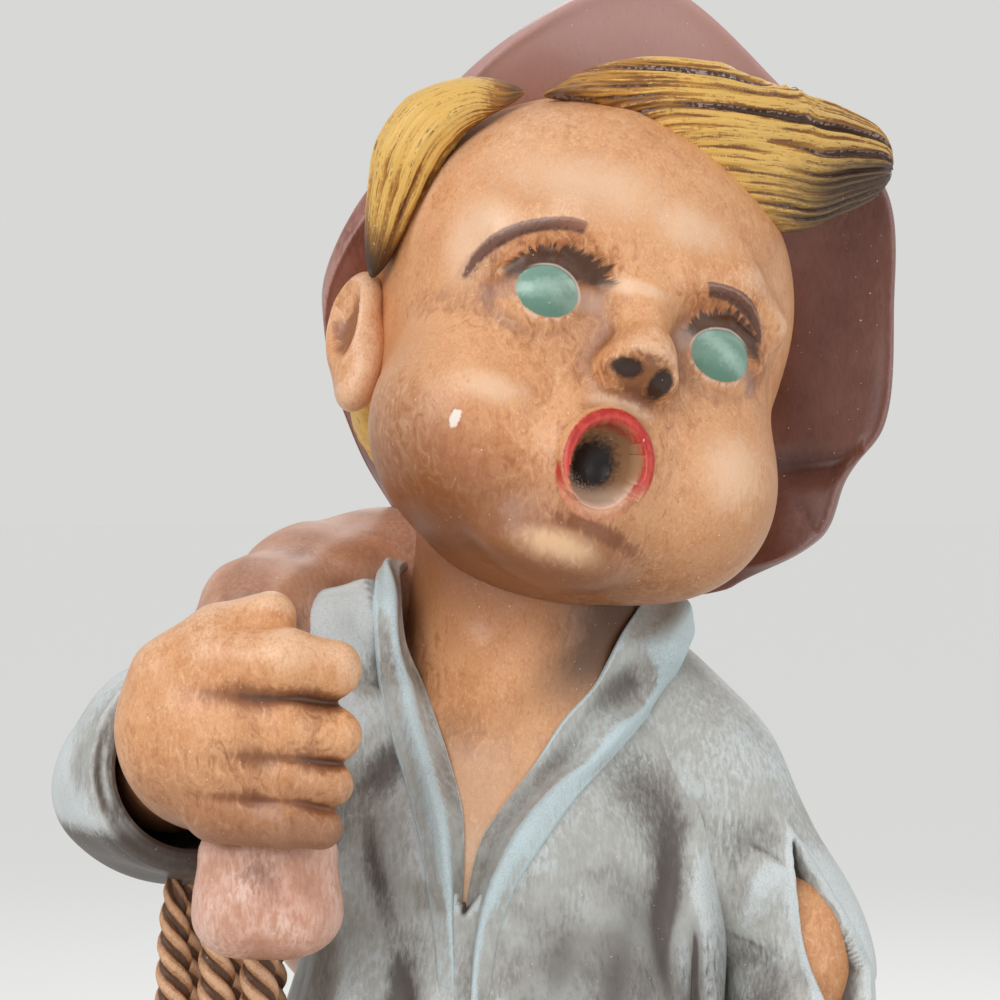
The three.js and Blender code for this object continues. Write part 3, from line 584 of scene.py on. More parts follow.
class Paint:
    """One material: a glazed shader, and the nodes that feed it."""

    def __init__(self, name):
        self.material = bpy.data.materials.new(name)
        self.material.use_nodes = True
        self.tree = self.material.node_tree
        self.tree.nodes.clear()
        self.shader = self.node("ShaderNodeBsdfPrincipled")
        self.node("ShaderNodeOutputMaterial", None, {"Surface": self.shader.outputs[0]})
        place = self.node("ShaderNodeTexCoord").outputs["Object"]
        self.place = self.scaled(place, (1 / MM, 1 / MM, 1 / MM))

    def node(self, kind, settings=None, sockets=None):
        node = self.tree.nodes.new(kind)
        for name, value in (settings or {}).items():
            setattr(node, name, value)
        for key, value in (sockets or {}).items():
            self.join(node.inputs[key], value)
        return node

    def join(self, socket, value):
        if isinstance(value, Number):
            value = value.socket
        if isinstance(value, bpy.types.NodeSocket):
            self.tree.links.new(value, socket)
        elif socket.type == "RGBA":
            socket.default_value = (*value[:3], 1)
        else:
            socket.default_value = value

    def scaled(self, vector, factors):
        sockets = {0: vector, 1: factors}
        return self.node("ShaderNodeVectorMath", {"operation": "MULTIPLY"}, sockets).outputs[0]

    def seen_from(self, place, lean):
        """Places in a turned frame, in millimetres."""
        sockets = {"Vector": self.place, "Location": list(place), "Rotation": lean}
        return self.node("ShaderNodeMapping", {"vector_type": "TEXTURE"}, sockets).outputs[0]

    def parts(self, vector):
        split = self.node("ShaderNodeSeparateXYZ", None, {0: vector})
        return [Number(self, socket) for socket in split.outputs]

    def joined(self, x, y, z):
        return self.node("ShaderNodeCombineXYZ", None, {0: x, 1: y, 2: z}).outputs[0]

    def attribute(self, name):
        return Number(self, self.node("ShaderNodeAttribute", {"attribute_name": name}).outputs["Fac"])

    def places_of(self, name):
        return self.node("ShaderNodeAttribute", {"attribute_name": name}).outputs["Vector"]

    def noise(self, vector, size, detail=2.0, roughness=0.55, stretch=(1, 1, 1), distortion=0.0):
        """Noise from 0 to 1 with blobs of a size in millimetres, stretched along each axis."""
        scaled = self.scaled(vector, [1 / (size * share) for share in stretch])
        sockets = {"Vector": scaled, "Scale": 1, "Detail": detail, "Roughness": roughness,
                   "Distortion": distortion}
        return Number(self, self.node("ShaderNodeTexNoise", None, sockets).outputs[0])

    def mix(self, share, first, second, how="MIX"):
        sockets = {0: share, 6: first, 7: second}
        return self.node("ShaderNodeMix", {"data_type": "RGBA", "blend_type": how}, sockets).outputs[2]

    def finish(self, base, roughness, height=None, depth=0.05, shine=0.5):
        """Feeds the shader: colour, roughness, and a height from 0 to 1 that stands `depth` mm proud."""
        self.join(self.shader.inputs["Base Color"], base)
        self.join(self.shader.inputs["Roughness"], roughness)
        self.join(self.shader.inputs["Specular IOR Level"], shine)
        if height is not None:
            sockets = {"Height": height, "Distance": depth * MM, "Strength": 1}
            self.join(self.shader.inputs["Normal"], self.node("ShaderNodeBump", None, sockets).outputs[0])
        return self.material


def stained(paint, tones, ridge=(0.1, 0.5), recess=(-0.05, -0.5), stretch=(1, 1, 3), patches=0.5, swirl=0.4):
    """The painter's three steps: an even coat in patches, stain wiped into the recesses, and dry brushing on
    the ridges in short strokes. Painted shade darkens the places that the shade attribute marks. Gives the
    colour and the strokes' noise."""
    even, stain, light = tones
    lift = paint.attribute("lift")
    cloud = paint.noise(paint.place, 13, 4)
    strokes = paint.noise(paint.place, 0.8, 3, 0.62, stretch, swirl)
    speckle = paint.noise(paint.place, 0.32, 2)
    coat = paint.mix(patches * cloud.fade(0.38, 0.68) * strokes.fade(0.3, 0.7), even, light)
    coat = paint.mix(0.42 * cloud.fade(0.55, 0.3) * strokes.fade(0.75, 0.35), coat, stain)
    worn = (lift + 0.35 * (strokes - 0.5)).fade(*recess)
    coat = paint.mix(0.85 * worn, coat, stain)
    # Painted shade: darker where the shade attribute marks shaded places, with no dry brushing there
    shade = (paint.attribute("shade") + 0.9 * (strokes - 0.5)).fade(0.15, 0.95)
    coat = paint.mix(0.9 * shade, coat, stain)
    brushed = (lift + 0.6 * (strokes - 0.5)).fade(*ridge) * (0.6 + 0.4 * speckle.fade(0.3, 0.6))
    coat = paint.mix(0.75 * brushed * (1 - shade), coat, light)
    grain = 0.94 + 0.12 * speckle
    return paint.mix(1.0, coat, paint.joined(grain, grain, grain), "MULTIPLY"), strokes


def dusted(paint, base):
    """A few specks of pale dust."""
    specks = paint.noise(paint.place, 0.7, 1).fade(0.76, 0.8)
    return paint.mix(0.6 * specks, base, tone("e9e2d8"))


def grain_of(paint):
    """The fired surface's fine bumps, from 0 to 1."""
    return 0.6 * paint.noise(paint.place, 0.9, 3) + 0.4 * paint.noise(paint.place, 3.5, 2)


def plain_paint(name, tones, roughness=0.45, **how):
    """Paint for a piece that has only the three tones."""
    paint = Paint(name)
    base, strokes = stained(paint, tones, **how)
    return paint.finish(dusted(paint, base), roughness + 0.16 * (strokes - 0.5), grain_of(paint), 0.12)


def skin_coat(paint, colours, ridge=(0.3, 1.1), recess=(-0.05, -0.6), deep=(-0.9, -1.8)):
    """Skin: an orange coat swirled on with a brush and flecked light and dark, with stain in the hollows,
    painted shade near black in the deepest hollows, and pinkish dry brushing on what stands proud. Gives the
    colour and the strokes' noise."""
    lift = paint.attribute("lift")
    cloud = paint.noise(paint.place, 15, 3)
    strokes = paint.noise(paint.place, 1.9, 4, 0.6, (1, 1, 1.9), 1.2)
    flecks = paint.noise(paint.place, 0.42, 2, 0.6, (1, 1, 1.6), 0.8)
    coat = paint.mix(0.6 * cloud.fade(0.42, 0.62), colours.skin, tone("cb8a58"))
    coat = paint.mix(0.5 * strokes.fade(0.5, 0.7), coat, tone("eab587"))
    coat = paint.mix(0.5 * strokes.fade(0.48, 0.3), coat, tone("b87445"))
    coat = paint.mix(0.34 * flecks.fade(0.54, 0.7), coat, tone("f2caa0"))
    coat = paint.mix(0.3 * flecks.fade(0.46, 0.3), coat, tone("a8653a"))
    coat = paint.mix(0.8 * (lift + 0.7 * (strokes - 0.5)).fade(*recess), coat, colours.skin_stain_and_shade)
    # Painted shade: near black in the deepest hollows
    coat = paint.mix(0.75 * (lift + 0.4 * (strokes - 0.5)).fade(*deep), coat, tone("36190c"))
    brushed = (lift + 1.2 * (strokes - 0.5)).fade(*ridge) * (0.5 + 0.5 * flecks.fade(0.36, 0.56))
    return paint.mix(0.55 * brushed, coat, colours.skin_dry_brush_and_highlight), strokes


def skin_paint(name, colours, shaded=None, **how):
    """Skin for a piece without features. Painted shade deepens between two heights, if those are given."""
    paint = Paint(name)
    base, strokes = skin_coat(paint, colours, **how)
    if shaded:
        height = paint.parts(paint.place)[2]
        # Painted shade: darker between the two heights that are given
        base = paint.mix(0.8 * (height + 12 * (strokes - 0.5)).fade(*shaded), base, colours.skin_stain_and_shade)
    return paint.finish(dusted(paint, base), 0.36 + 0.2 * (strokes - 0.5), grain_of(paint), 0.1)


def chest_paint(colours):
    """Skin with painted shade under the chin and at the side of the neck where the collar stands, and painted
    light lower on the chest.
    """
    paint = Paint("painted_chest")
    x, _, z = paint.parts(paint.place)
    base, strokes = skin_coat(paint, colours)
    # Painted light: paler lower down the chest
    base = paint.mix(0.35 * (z + 14 * (strokes - 0.5)).fade(294, 270), base, colours.skin_dry_brush_and_highlight)
    # Painted shade under the chin
    base = paint.mix(0.8 * (z + 12 * (strokes - 0.5)).fade(290, 316), base, colours.skin_stain_and_shade)
    # Painted shade at the side of the neck where the collar stands
    side = (x - 0.4 * (z - 300) + 8 * (strokes - 0.5)).fade(4, 18) * z.fade(282, 296)
    base = paint.mix(0.85 * side, base, tone("3d2417"))
    return paint.finish(dusted(paint, base), 0.36 + 0.2 * (strokes - 0.5), grain_of(paint), 0.1)


def spot(x, z, centre, half_width, half_height):
    """How far out of an oval spot a place is: 0 at its centre and 1 at its edge."""
    return ((x - centre[0]) / half_width).hypot((z - centre[1]) / half_height)


def brow_oval(out, z, side):
    """Shares across and up an oval over each eye, along whose rim the brow runs. The left one is smaller."""
    return (out - 15.5) / (15 - 3.8 * side), (z - 2.5 - 0.5 * side) / (10.9 - 2.0 * side)


def brow_turns(side):
    """The turns about that oval at which the brow starts, by the nose, and at which it ends."""
    return -0.04 + 0.6 * side, 1.62 + 0.41 * side


def face_paint(settings):
    """Skin with the painted eyes, lashes, brows and lips, and painted highlights and shade, placed by
    distances in the head's own frame.
    """
    colours, sizes = settings.colours, settings.sizes
    paint = Paint("painted_face")
    x, y, z = paint.parts(paint.seen_from(HEAD_AT, HEAD_LEAN))
    base, strokes = skin_coat(paint, colours, ridge=(0.4, 1.3), recess=(-0.3, -1.1), deep=(-1.8, -2.8))
    ragged = paint.noise(paint.place, 0.8, 2) - 0.5
    loose = 1.7 * (strokes - 0.5)
    face = y.fade(-18, -26)
    side = x.fade(-1, 1)
    across = x.size() - EYE_SPACING / 2

    # Painted shade: darker towards the outline of the head
    rounding = (x / 42).hypot((z - 12) / 52) + 0.5 * (strokes - 0.5)
    base = paint.mix(0.28 * rounding.fade(0.85, 1.12), base, colours.skin_stain_and_shade)
    # Painted shade: darker low on the face, towards the jaw
    low = (z + 0.25 * x + 20 * (strokes - 0.5)).fade(-27, -46)
    base = paint.mix(0.74 * low, base, colours.skin_stain_and_shade)
    # Painted shade in the crease under the lower lip
    crease = (spot(x, z, (3.5, -38.4), 11, 2.0) + loose).fade(1.2, 0.4) * face
    base = paint.mix(0.85 * crease, base, colours.skin_stain_and_shade)

    # Painted highlights: paler spots on the forehead, temple, nose bridge, cheeks and upper lip
    pale = (spot(x, z, (-16, 23), 17, 7) + loose).fade(1.3, 0.1)
    pale = pale.larger((spot(x, z, (4, 21), 9, 5) + loose).fade(1.3, 0.2))
    pale = pale.larger((spot(x, z, (-31, 9), 5, 9) + loose).fade(1.3, 0.3))
    pale = pale.larger((spot(x, z, (-2.8, 5.8), 5.5, 1.6) + loose).fade(1.3, 0.4))
    pale = pale.larger((spot(x, z, (-22.6, -19.2), 7, 3.4) + loose).fade(1.3, 0.2))
    pale = pale.larger((spot(x, z, (26, -18), 8, 8) + loose).fade(1.3, 0.2))
    pale = pale.larger((spot(x, z, (0.8, -15.6), 6.5, 1.9) + loose).fade(1.2, 0.4))
    base = paint.mix(0.65 * face * pale, base, colours.skin_dry_brush_and_highlight)
    # Painted highlight on the chin
    chin = (spot(x, z, (-3, -43), 9.5, 3.2) + 0.5 * loose).fade(1.2, 0.2)
    base = paint.mix(0.75 * face * chin, base, tone("f0c79c"))
    blush = (spot(x, z, (-23.5, -24.4), 8, 4) + loose).fade(1.2, 0.3)
    blush = blush.larger((spot(x, z, (-22, -31), 10, 6) + loose).fade(1.2, 0.3))
    base = paint.mix(0.22 * face * blush, base, tone("b9653a"))

    lid = (spot(across, z, (-0.5, 3.5), 12.4, 8.8) + 0.6 * loose).fade(1.15, 0.7)
    lid = lid * (z + 0.4 * across).fade(1.0, 4.5)
    lid_tone = paint.mix(strokes.fade(0.35, 0.65), tone("9a5829"), tone("c07a46"))
    base = paint.mix(0.75 * face * lid, base, lid_tone)

    eye_across = across / (0.5 * sizes.eye_width / MM)
    eye_up = (z - EYE_LEVEL) / (0.5 * sizes.eye_height / MM)
    eye = eye_across.hypot(eye_up)
    tilted = z + (0.2 - 0.28 * side) * across
    lash = (across / (11.4 - 2.2 * side)).hypot((tilted - 1.5) / 8.7)
    turn = (z - 1).turn(across)
    comb = paint.noise(paint.joined(turn * 8, lash * 0.8, side * 5), 1, 3, 0.6)
    lashes = (lash + 0.75 * (comb - 0.5)).fade(1.03, 0.9) * (tilted + 3 * (comb - 0.5)).fade(1.8, 4.4)
    lashes = lashes * (across + 2 * (comb - 0.5)).fade(9.8 + 3 * side, 7 + 3 * side)
    base = paint.mix(0.86 * face * lashes, base, colours.lashes)
    haze = (spot(across, z, (-7.6, 2.0), 3.2, 2.8) + 0.8 * loose).fade(1.1, 0.3)
    base = paint.mix(0.3 * face * haze, base, tone("dcc4b6"))
    corner = (spot(across, z, (7.6, -0.2), 3.2, 2.6) + 0.8 * loose).fade(1.1, 0.4)
    base = paint.mix(0.32 * face * corner, base, tone("958284"))

    brow_across, brow_up = brow_oval(x.size(), z, side)
    brow_turn = brow_up.turn(brow_across)
    brow = (brow_across.hypot(brow_up) - 1) * 12
    start, end = brow_turns(side)
    brow_width = (0.5 * sizes.brow_line / MM) * (0.3 + 0.7 * (brow_turn - start).fade(0, 0.7))
    brow_width = brow_width * (1 + 0.3 * side)
    brow_ends = (brow_turn - start).fade(-0.06, 0.06) * (end - brow_turn).fade(-0.03, 0.03) * face
    bar = (brow.size() + 0.7 * ragged - brow_width).fade(0.3, -0.25) * brow_ends
    brow_tone = paint.mix(brow_turn.fade(1.1, 1.6) * (1 - side), colours.brows, tone("8a5540"))
    base = paint.mix(0.92 * bar, base, brow_tone)
    # Painted highlight along the upper edge of each brow
    base = paint.mix(0.5 * (brow + ragged).near(0.9, 0.5) * brow_ends, base, tone("b48d80"))
    # Painted shade along the lower edge of each brow
    under = (brow + ragged).near(-0.8, 0.6) * brow_ends * strokes.fade(0.4, 0.55)
    base = paint.mix(0.6 * under, base, tone("3a1d14"))

    rim = eye.near(1.05, 0.07) * face * (eye_up - eye_across * 0.5).fade(0.1, 0.9)
    rim = rim.larger(eye.near(1.08, 0.1) * face * eye_up.fade(-0.2, -0.8) * strokes.fade(0.42, 0.6))
    base = paint.mix(0.6 * rim, base, tone("e2d3c8"))
    iris = (eye + 0.06 * ragged).fade(1.03, 0.97) * face
    # Painted highlight in a band across each eye, and painted shade at its bottom
    iris_tone = paint.mix((z + 0.5 * across + 2.8 * ragged).near(2.2, 2.8), colours.eyes, tone("98b6a9"))
    iris_tone = paint.mix(0.6 * (eye_up + 0.5 * ragged).fade(-0.2, -0.8), iris_tone, tone("4d7c69"))
    base = paint.mix(iris, base, iris_tone)

    mouth = ((x - MOUTH[0]) / MOUTH_HALF_WIDTH).hypot((z - MOUTH[2]) / MOUTH_HALF_HEIGHT)
    opening = mouth.fade(0.98, 0.88) * face
    # Painted shade: dark deep in the mouth, with painted light on its lower wall
    core = (spot(x, z, (-0.2, -25.8), 5.2, 5.6) + 0.5 * ragged).fade(0.6, 1.1)
    inside = paint.mix(core, tone("140a06"), tone("a9815f"))
    inside = paint.mix(0.8 * (z - 0.3 * x).fade(-28.5, -33), inside, tone("f0d0b4"))
    dust = paint.noise(paint.place, 0.34, 1).fade(0.53, 0.62) * (z + 0.2 * x).near(-30.4, 2.8)
    inside = paint.mix(0.7 * dust, inside, tone("c9c3bd"))
    base = paint.mix(opening, base, inside)
    wide = 0.5 * sizes.lip_line / MM
    lip = ((mouth - 1) * 8 - 0.15 + 0.5 * ragged).size().fade(wide + 0.2, wide - 0.3) * face
    fading = (0.7 * x - z - 27).fade(0, 9) * z.fade(-28, -33)
    lip_tone = paint.mix(strokes.fade(0.42, 0.6), colours.lips, tone("c6402f"))
    lip_tone = paint.mix(0.8 * z.fade(-31, -35), lip_tone, tone("ee9c7c"))
    base = paint.mix(lip * (1 - 0.7 * fading), base, lip_tone)
    ring = ((mouth - 1) * 8 + wide).near(0.1, 0.4) * z.fade(-29, -33) * face
    base = paint.mix(0.7 * ring, base, tone("ffd9cc"))

    # Painted shade under the nose, round the nostrils
    nose_underside_shade = (spot(x, z, (1.6, -10.6), 7.2, 3.4) + 0.8 * loose).fade(1.15, 0.5)
    base = paint.mix(0.7 * nose_underside_shade * face, base, tone("6b3d24"))
    nostril = (spot(x, z, (-1.6, -10.2), 3.1, 1.6) + 0.4 * ragged).fade(1.1, 0.7)
    nostril = nostril.larger((spot(x, z, (5.5, -10.6), 2.3, 2.4) + 0.4 * ragged).fade(1.1, 0.7))
    base = paint.mix(0.95 * nostril * face, base, colours.lashes)
    chip = (spot(x, z, (-26.8, -26.4), 0.8, 1.5) + ragged).fade(1.3, 0.9) * face
    base = paint.mix(0.9 * chip, base, tone("f0e6da"))
    gloss = 0.38 + 0.2 * (strokes - 0.5) - 0.18 * iris - 0.06 * lip
    return paint.finish(dusted(paint, base), gloss, grain_of(paint), 0.1)


def hair_paint(settings):
    """Golden strands over dark grooves, with streaks along the combed places, darker in the shade."""
    colours = settings.colours
    paint = Paint("painted_hair")
    comb = paint.places_of("comb")
    lift = paint.attribute("lift")
    shade = paint.attribute("shade")
    streaks = paint.noise(comb, 0.5, 4, 0.7)
    broad = paint.noise(comb, 1.8, 3)
    dabs = paint.noise(paint.place, 0.9, 3)
    base = paint.mix(broad.fade(0.4, 0.58), colours.hair, tone("885624"))
    bright = (lift + 1.6 * (streaks - 0.5) + 0.9 * (dabs - 0.5)).fade(0.02, 0.45)
    base = paint.mix(0.8 * bright, base, colours.hair_light)
    base = paint.mix(0.8 * streaks.fade(0.47, 0.36) * dabs.fade(0.4, 0.56), base, tone("6a3f1c"))
    groove = (lift + 0.7 * (streaks - 0.5)).fade(-0.08, -0.5)
    base = paint.mix(0.92 * groove, base, colours.hair_stain_and_shade)
    worn = (lift + 0.5 * (dabs - 0.5)).near(-0.55, 0.3) * dabs.fade(0.45, 0.58)
    base = paint.mix(0.65 * worn, base, tone("c9b0ae"))
    base = paint.mix(0.85 * (shade + 1.4 * (streaks - 0.5)).fade(0.3, 0.9), base, colours.hair_stain_and_shade)
    return paint.finish(dusted(paint, base), 0.36 + 0.2 * (streaks - 0.5), streaks, 0.2)


def hat_paint(settings):
    """Red-brown, smooth and glossy, with pinkish dry brushing, painted light towards the top and painted
    shade inside the brim at the boy's left.
    """
    colours = settings.colours
    paint = Paint("painted_hat")
    x, y, z = paint.parts(paint.seen_from(HEAD_AT, HEAD_LEAN))
    tones = colours.hat, colours.hat_stain_and_shade, colours.hat_dry_brush_and_top_light
    base, strokes = stained(paint, tones, ridge=(0.3, 1.1), recess=(-0.1, -0.8), patches=0.2)
    # Painted light: paler towards the top of the hat
    top = (z - 0.45 * x + 20 * (strokes - 0.5)).fade(26, 66)
    base = paint.mix(0.7 * top, base, colours.hat_dry_brush_and_top_light)
    # Painted shade inside the brim at the boy's left
    inner = (x - 0.2 * z + 10 * (strokes - 0.5)).fade(22, 46) * y.fade(26, 8)
    base = paint.mix(0.45 * inner, base, colours.hat_stain_and_shade)
    return paint.finish(dusted(paint, base), 0.3 + 0.14 * (strokes - 0.5), grain_of(paint), 0.06)


# Pieces

def head_turn():
    """The head's turn: about X, then Y, then Z."""
    (cx, cy, cz), (sx, sy, sz) = np.cos(HEAD_LEAN), np.sin(HEAD_LEAN)
    about_x = np.array([[1, 0, 0], [0, cx, -sx], [0, sx, cx]])
    about_y = np.array([[cy, 0, sy], [0, 1, 0], [-sy, 0, cy]])
    about_z = np.array([[cz, -sz, 0], [sz, cz, 0], [0, 0, 1]])
    return about_z @ about_y @ about_x


def from_head(points):
    return points @ head_turn().T + HEAD_AT


def both_sides(make):
    return [make(1), make(-1)]


def face_field():
    """The skull, forehead, jaw, cheeks and chin blended, with sockets, eyes, nose, lips and mouth."""
    flesh = blend(10, egg((0, 4, 8), (SKULL_HALF_WIDTH, 43, 44)), egg((-3, -8, 20), (37, 32, 31)),
                  egg((0, -8, -28), (27, 24, 17)), egg((0, -26, -25), (15, 14.5, 17)),
                  egg((21.6, -17, -19), (18.5, 18.5, 20.6)), egg((-21, -17, -21), (17.5, 18.5, 18.5)))
    flesh = blend(9, flesh, egg((-2, -27.6, -42.4), (11, 7.4, 4.8)))
    bones = both_sides(lambda side: limb(3, ((side * 9, -37, 12.5), 2.0), ((side * 17, -36.6, 15.5), 2.6),
                                         ((side * 27, -31, 12), 2.2)))
    flesh = blend(7, flesh, *bones)
    sockets = both_sides(lambda side: egg((side * EYE_SPACING / 2, -41.5, 2.5), (10.5, 5.6, 7)))
    flesh = carved(6, flesh, *sockets)
    nose = blend(4, rod((0, -38, 6), (1.2, -43, -4.4), 3, 4), egg((1.6, -44.2, -6.4), (5.0, 4.0, 3.3)),
                 *both_sides(lambda side: egg((1.9 + side * 4.4, -41.2, -9.2), (2.7, 3.0, 2.6))))
    lips = hoop(MOUTH, MOUTH_HALF_WIDTH, MOUTH_HALF_HEIGHT, LIP_RADIUS)
    eyes = both_sides(lambda side: egg((side * EYE_SPACING / 2, -30.5, EYE_LEVEL), (7.4, 7.3, 6.0)))
    upper = ((-9, 0.6, 2.4), (-5.5, -0.6, 4.8), (0, -1.2, 6.0), (5, 0.4, 4.8), (8.5, 2.2, 1.4))

    def lid(side):
        stops = [(side * (EYE_SPACING / 2 + dx), -35.2 + dy, EYE_LEVEL + dz) for dx, dy, dz in upper]
        return limb(1, *[(stop, 0.9) for stop in stops])

    flesh = blend(3, blend(6, flesh, nose), lips)
    flesh = blend(3, flesh, *eyes)
    flesh = blend(2.4, flesh, *both_sides(lid))
    crease = limb(2, ((-11, -38.5, -40.4), 0.6), ((-3, -42.2, -39.4), 1.6), ((4, -42.6, -38.4), 2.0),
                  ((12, -39, -37), 0.9))
    nostrils = [egg((-1.4, -47, -10.2), (2.4, 2.6, 1.3)), egg((5.4, -46.4, -10.4), (1.7, 2.6, 1.7))]
    hole = egg(MOUTH + (0, 2, 0), (MOUTH_HALF_WIDTH - 1, MOUTH_DEPTH, MOUTH_HALF_HEIGHT - 1))
    return carved(1.2, carved(5, flesh, crease), *nostrils, hole)


class FIGURINE_OT_head(bpy.types.Operator):
    """Models the face and skull in place of the head casting"""
    bl_idname = "figurine.head"
    bl_label = "Head"

    def execute(self, context):
        points = around_point(face_field(), (0, 2, -14), pole=(0, -43, -13.5), spread=1.3, bias=0.35,
                              columns=360, rows=230)
        amount = 0.16 * rough(points, 9, 3) + self.brows(points)
        for side in (1, -1):
            cheek_line = curve((side * 9.5, -41, -12), (side * 13.5, -37, -19), (side * 13, -36, -28))
            amount += fold(points, cheek_line, -0.5, 3.0)
        amount += fold(points, curve((-5, -42, -16.4), (1, -43.5, -15), (7, -42, -16.6)), 0.6, 1.3)
        arch = curve((-6.6, -43.4, -10.4), (-4, -46.6, -7.9), (1.2, -48.4, -7), (5.8, -47, -7.2),
                     (8.6, -44, -9.4))
        amount += fold(points, arch, 0.55, 0.9)
        for edge in (((-12, -29, 44.4), (2, -29, 39.6), (13, -27.5, 35.6), (26, -23, 34)),
                     ((-31, -23, 39), (-37, -20, 28), (-39.5, -17, 16), (-40, -13, 6))):
            amount += fold(points, curve(*edge), 0.7, 1.3)
        points = pushed(points, amount)
        head = dress("head", from_head(points), "skin", face_paint(context.scene.figurine))
        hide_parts("head")
        return {"FINISHED"}

    @staticmethod
    def brows(points):
        """Two raised arcs on ovals over the eyes, each blunt at the nose and fading outwards."""
        x, z = points[..., 0], points[..., 2]
        side = step(x, -1, 1)
        across, up = brow_oval(np.abs(x), z, side)
        turn = np.arctan2(up, across)
        start, end = brow_turns(side)
        ends = step(turn - start, 0, 0.6) * step(end - turn, -0.03, 0.06) * step(-points[..., 1], 20, 28)
        return 0.75 * bump((np.hypot(across, up) - 1) * 12, 1.15) * ends


class FIGURINE_OT_ears(bpy.types.Operator):
    """Models both ears, each with its rim and its hollow"""
    bl_idname = "figurine.ears"
    bl_label = "Ears"

    def execute(self, context):
        material = skin_paint("painted_ears", context.scene.figurine.colours, ridge=(0.4, 1.4))
        for side, name in ((1, "left_ear"), (-1, "right_ear")):
            middle = np.array([39.6, 11, -7.5] if side > 0 else [-41, 2, -7.5])
            shell = blend(6, egg(middle + (side * 1.6, 1, 5.6), (4.6, 8.4, 9.2)),
                          egg(middle + (side * -2.0, -0.3, -4.4), (4.4, 7, 8.2)))
            bowl = egg(middle + (side * 5.6, -3.2, 2), (4.4, 4.6, 8.2))
            groove = limb(1, (middle + (side * 4.4, -5.5, 9), 0.8), (middle + (side * 4.8, 0.5, 10), 1.0),
                          (middle + (side * 4.6, 3.6, 4.5), 0.9), (middle + (side * 3.6, 3.6, -1.5), 0.6))
            lobe = egg(middle + (side * -1.6, -3.0, -9.6), (2.8, 3.2, 3.0))
            field = carved(1.2, blend(2, shell, lobe), bowl, groove)
            points = around_point(field, middle - (side * 2.5, 0, 0), pole=(side, 0, 0), side=(0, 1, 0),
                                  columns=120, rows=90)
            ear = dress(name, from_head(points), "skin", material)
            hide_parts(name)
        return {"FINISHED"}


def combed(u, v, count, depth, seed):
    """Grooves along a lock: each a bell across u that wanders a little and opens and closes along v."""
    draw = np.random.default_rng(seed)
    amount = np.zeros(u.shape)
    for place in (np.arange(count) + draw.uniform(-0.25, 0.25, count)) / count:
        swing = draw.uniform(-0.03, 0.03)
        wander = swing * np.sin(math.pi * (v * draw.uniform(0.8, 1.6) + draw.uniform(0, 1)))
        gap = np.abs((u - place - wander + 0.5) % 1 - 0.5)
        start, end = draw.uniform(0, 0.25), draw.uniform(0.75, 1.05)
        open_here = step(v, start, start + 0.3) * (1 - step(v, end - 0.3, end))
        amount -= depth * draw.uniform(0.45, 1.15) * open_here * bump(gap * count, draw.uniform(0.2, 0.34))
    fine = np.sin(2 * math.pi * (3.3 * count * u + 0.35 * np.sin(5 * v)))
    return amount + 0.07 * depth * fine


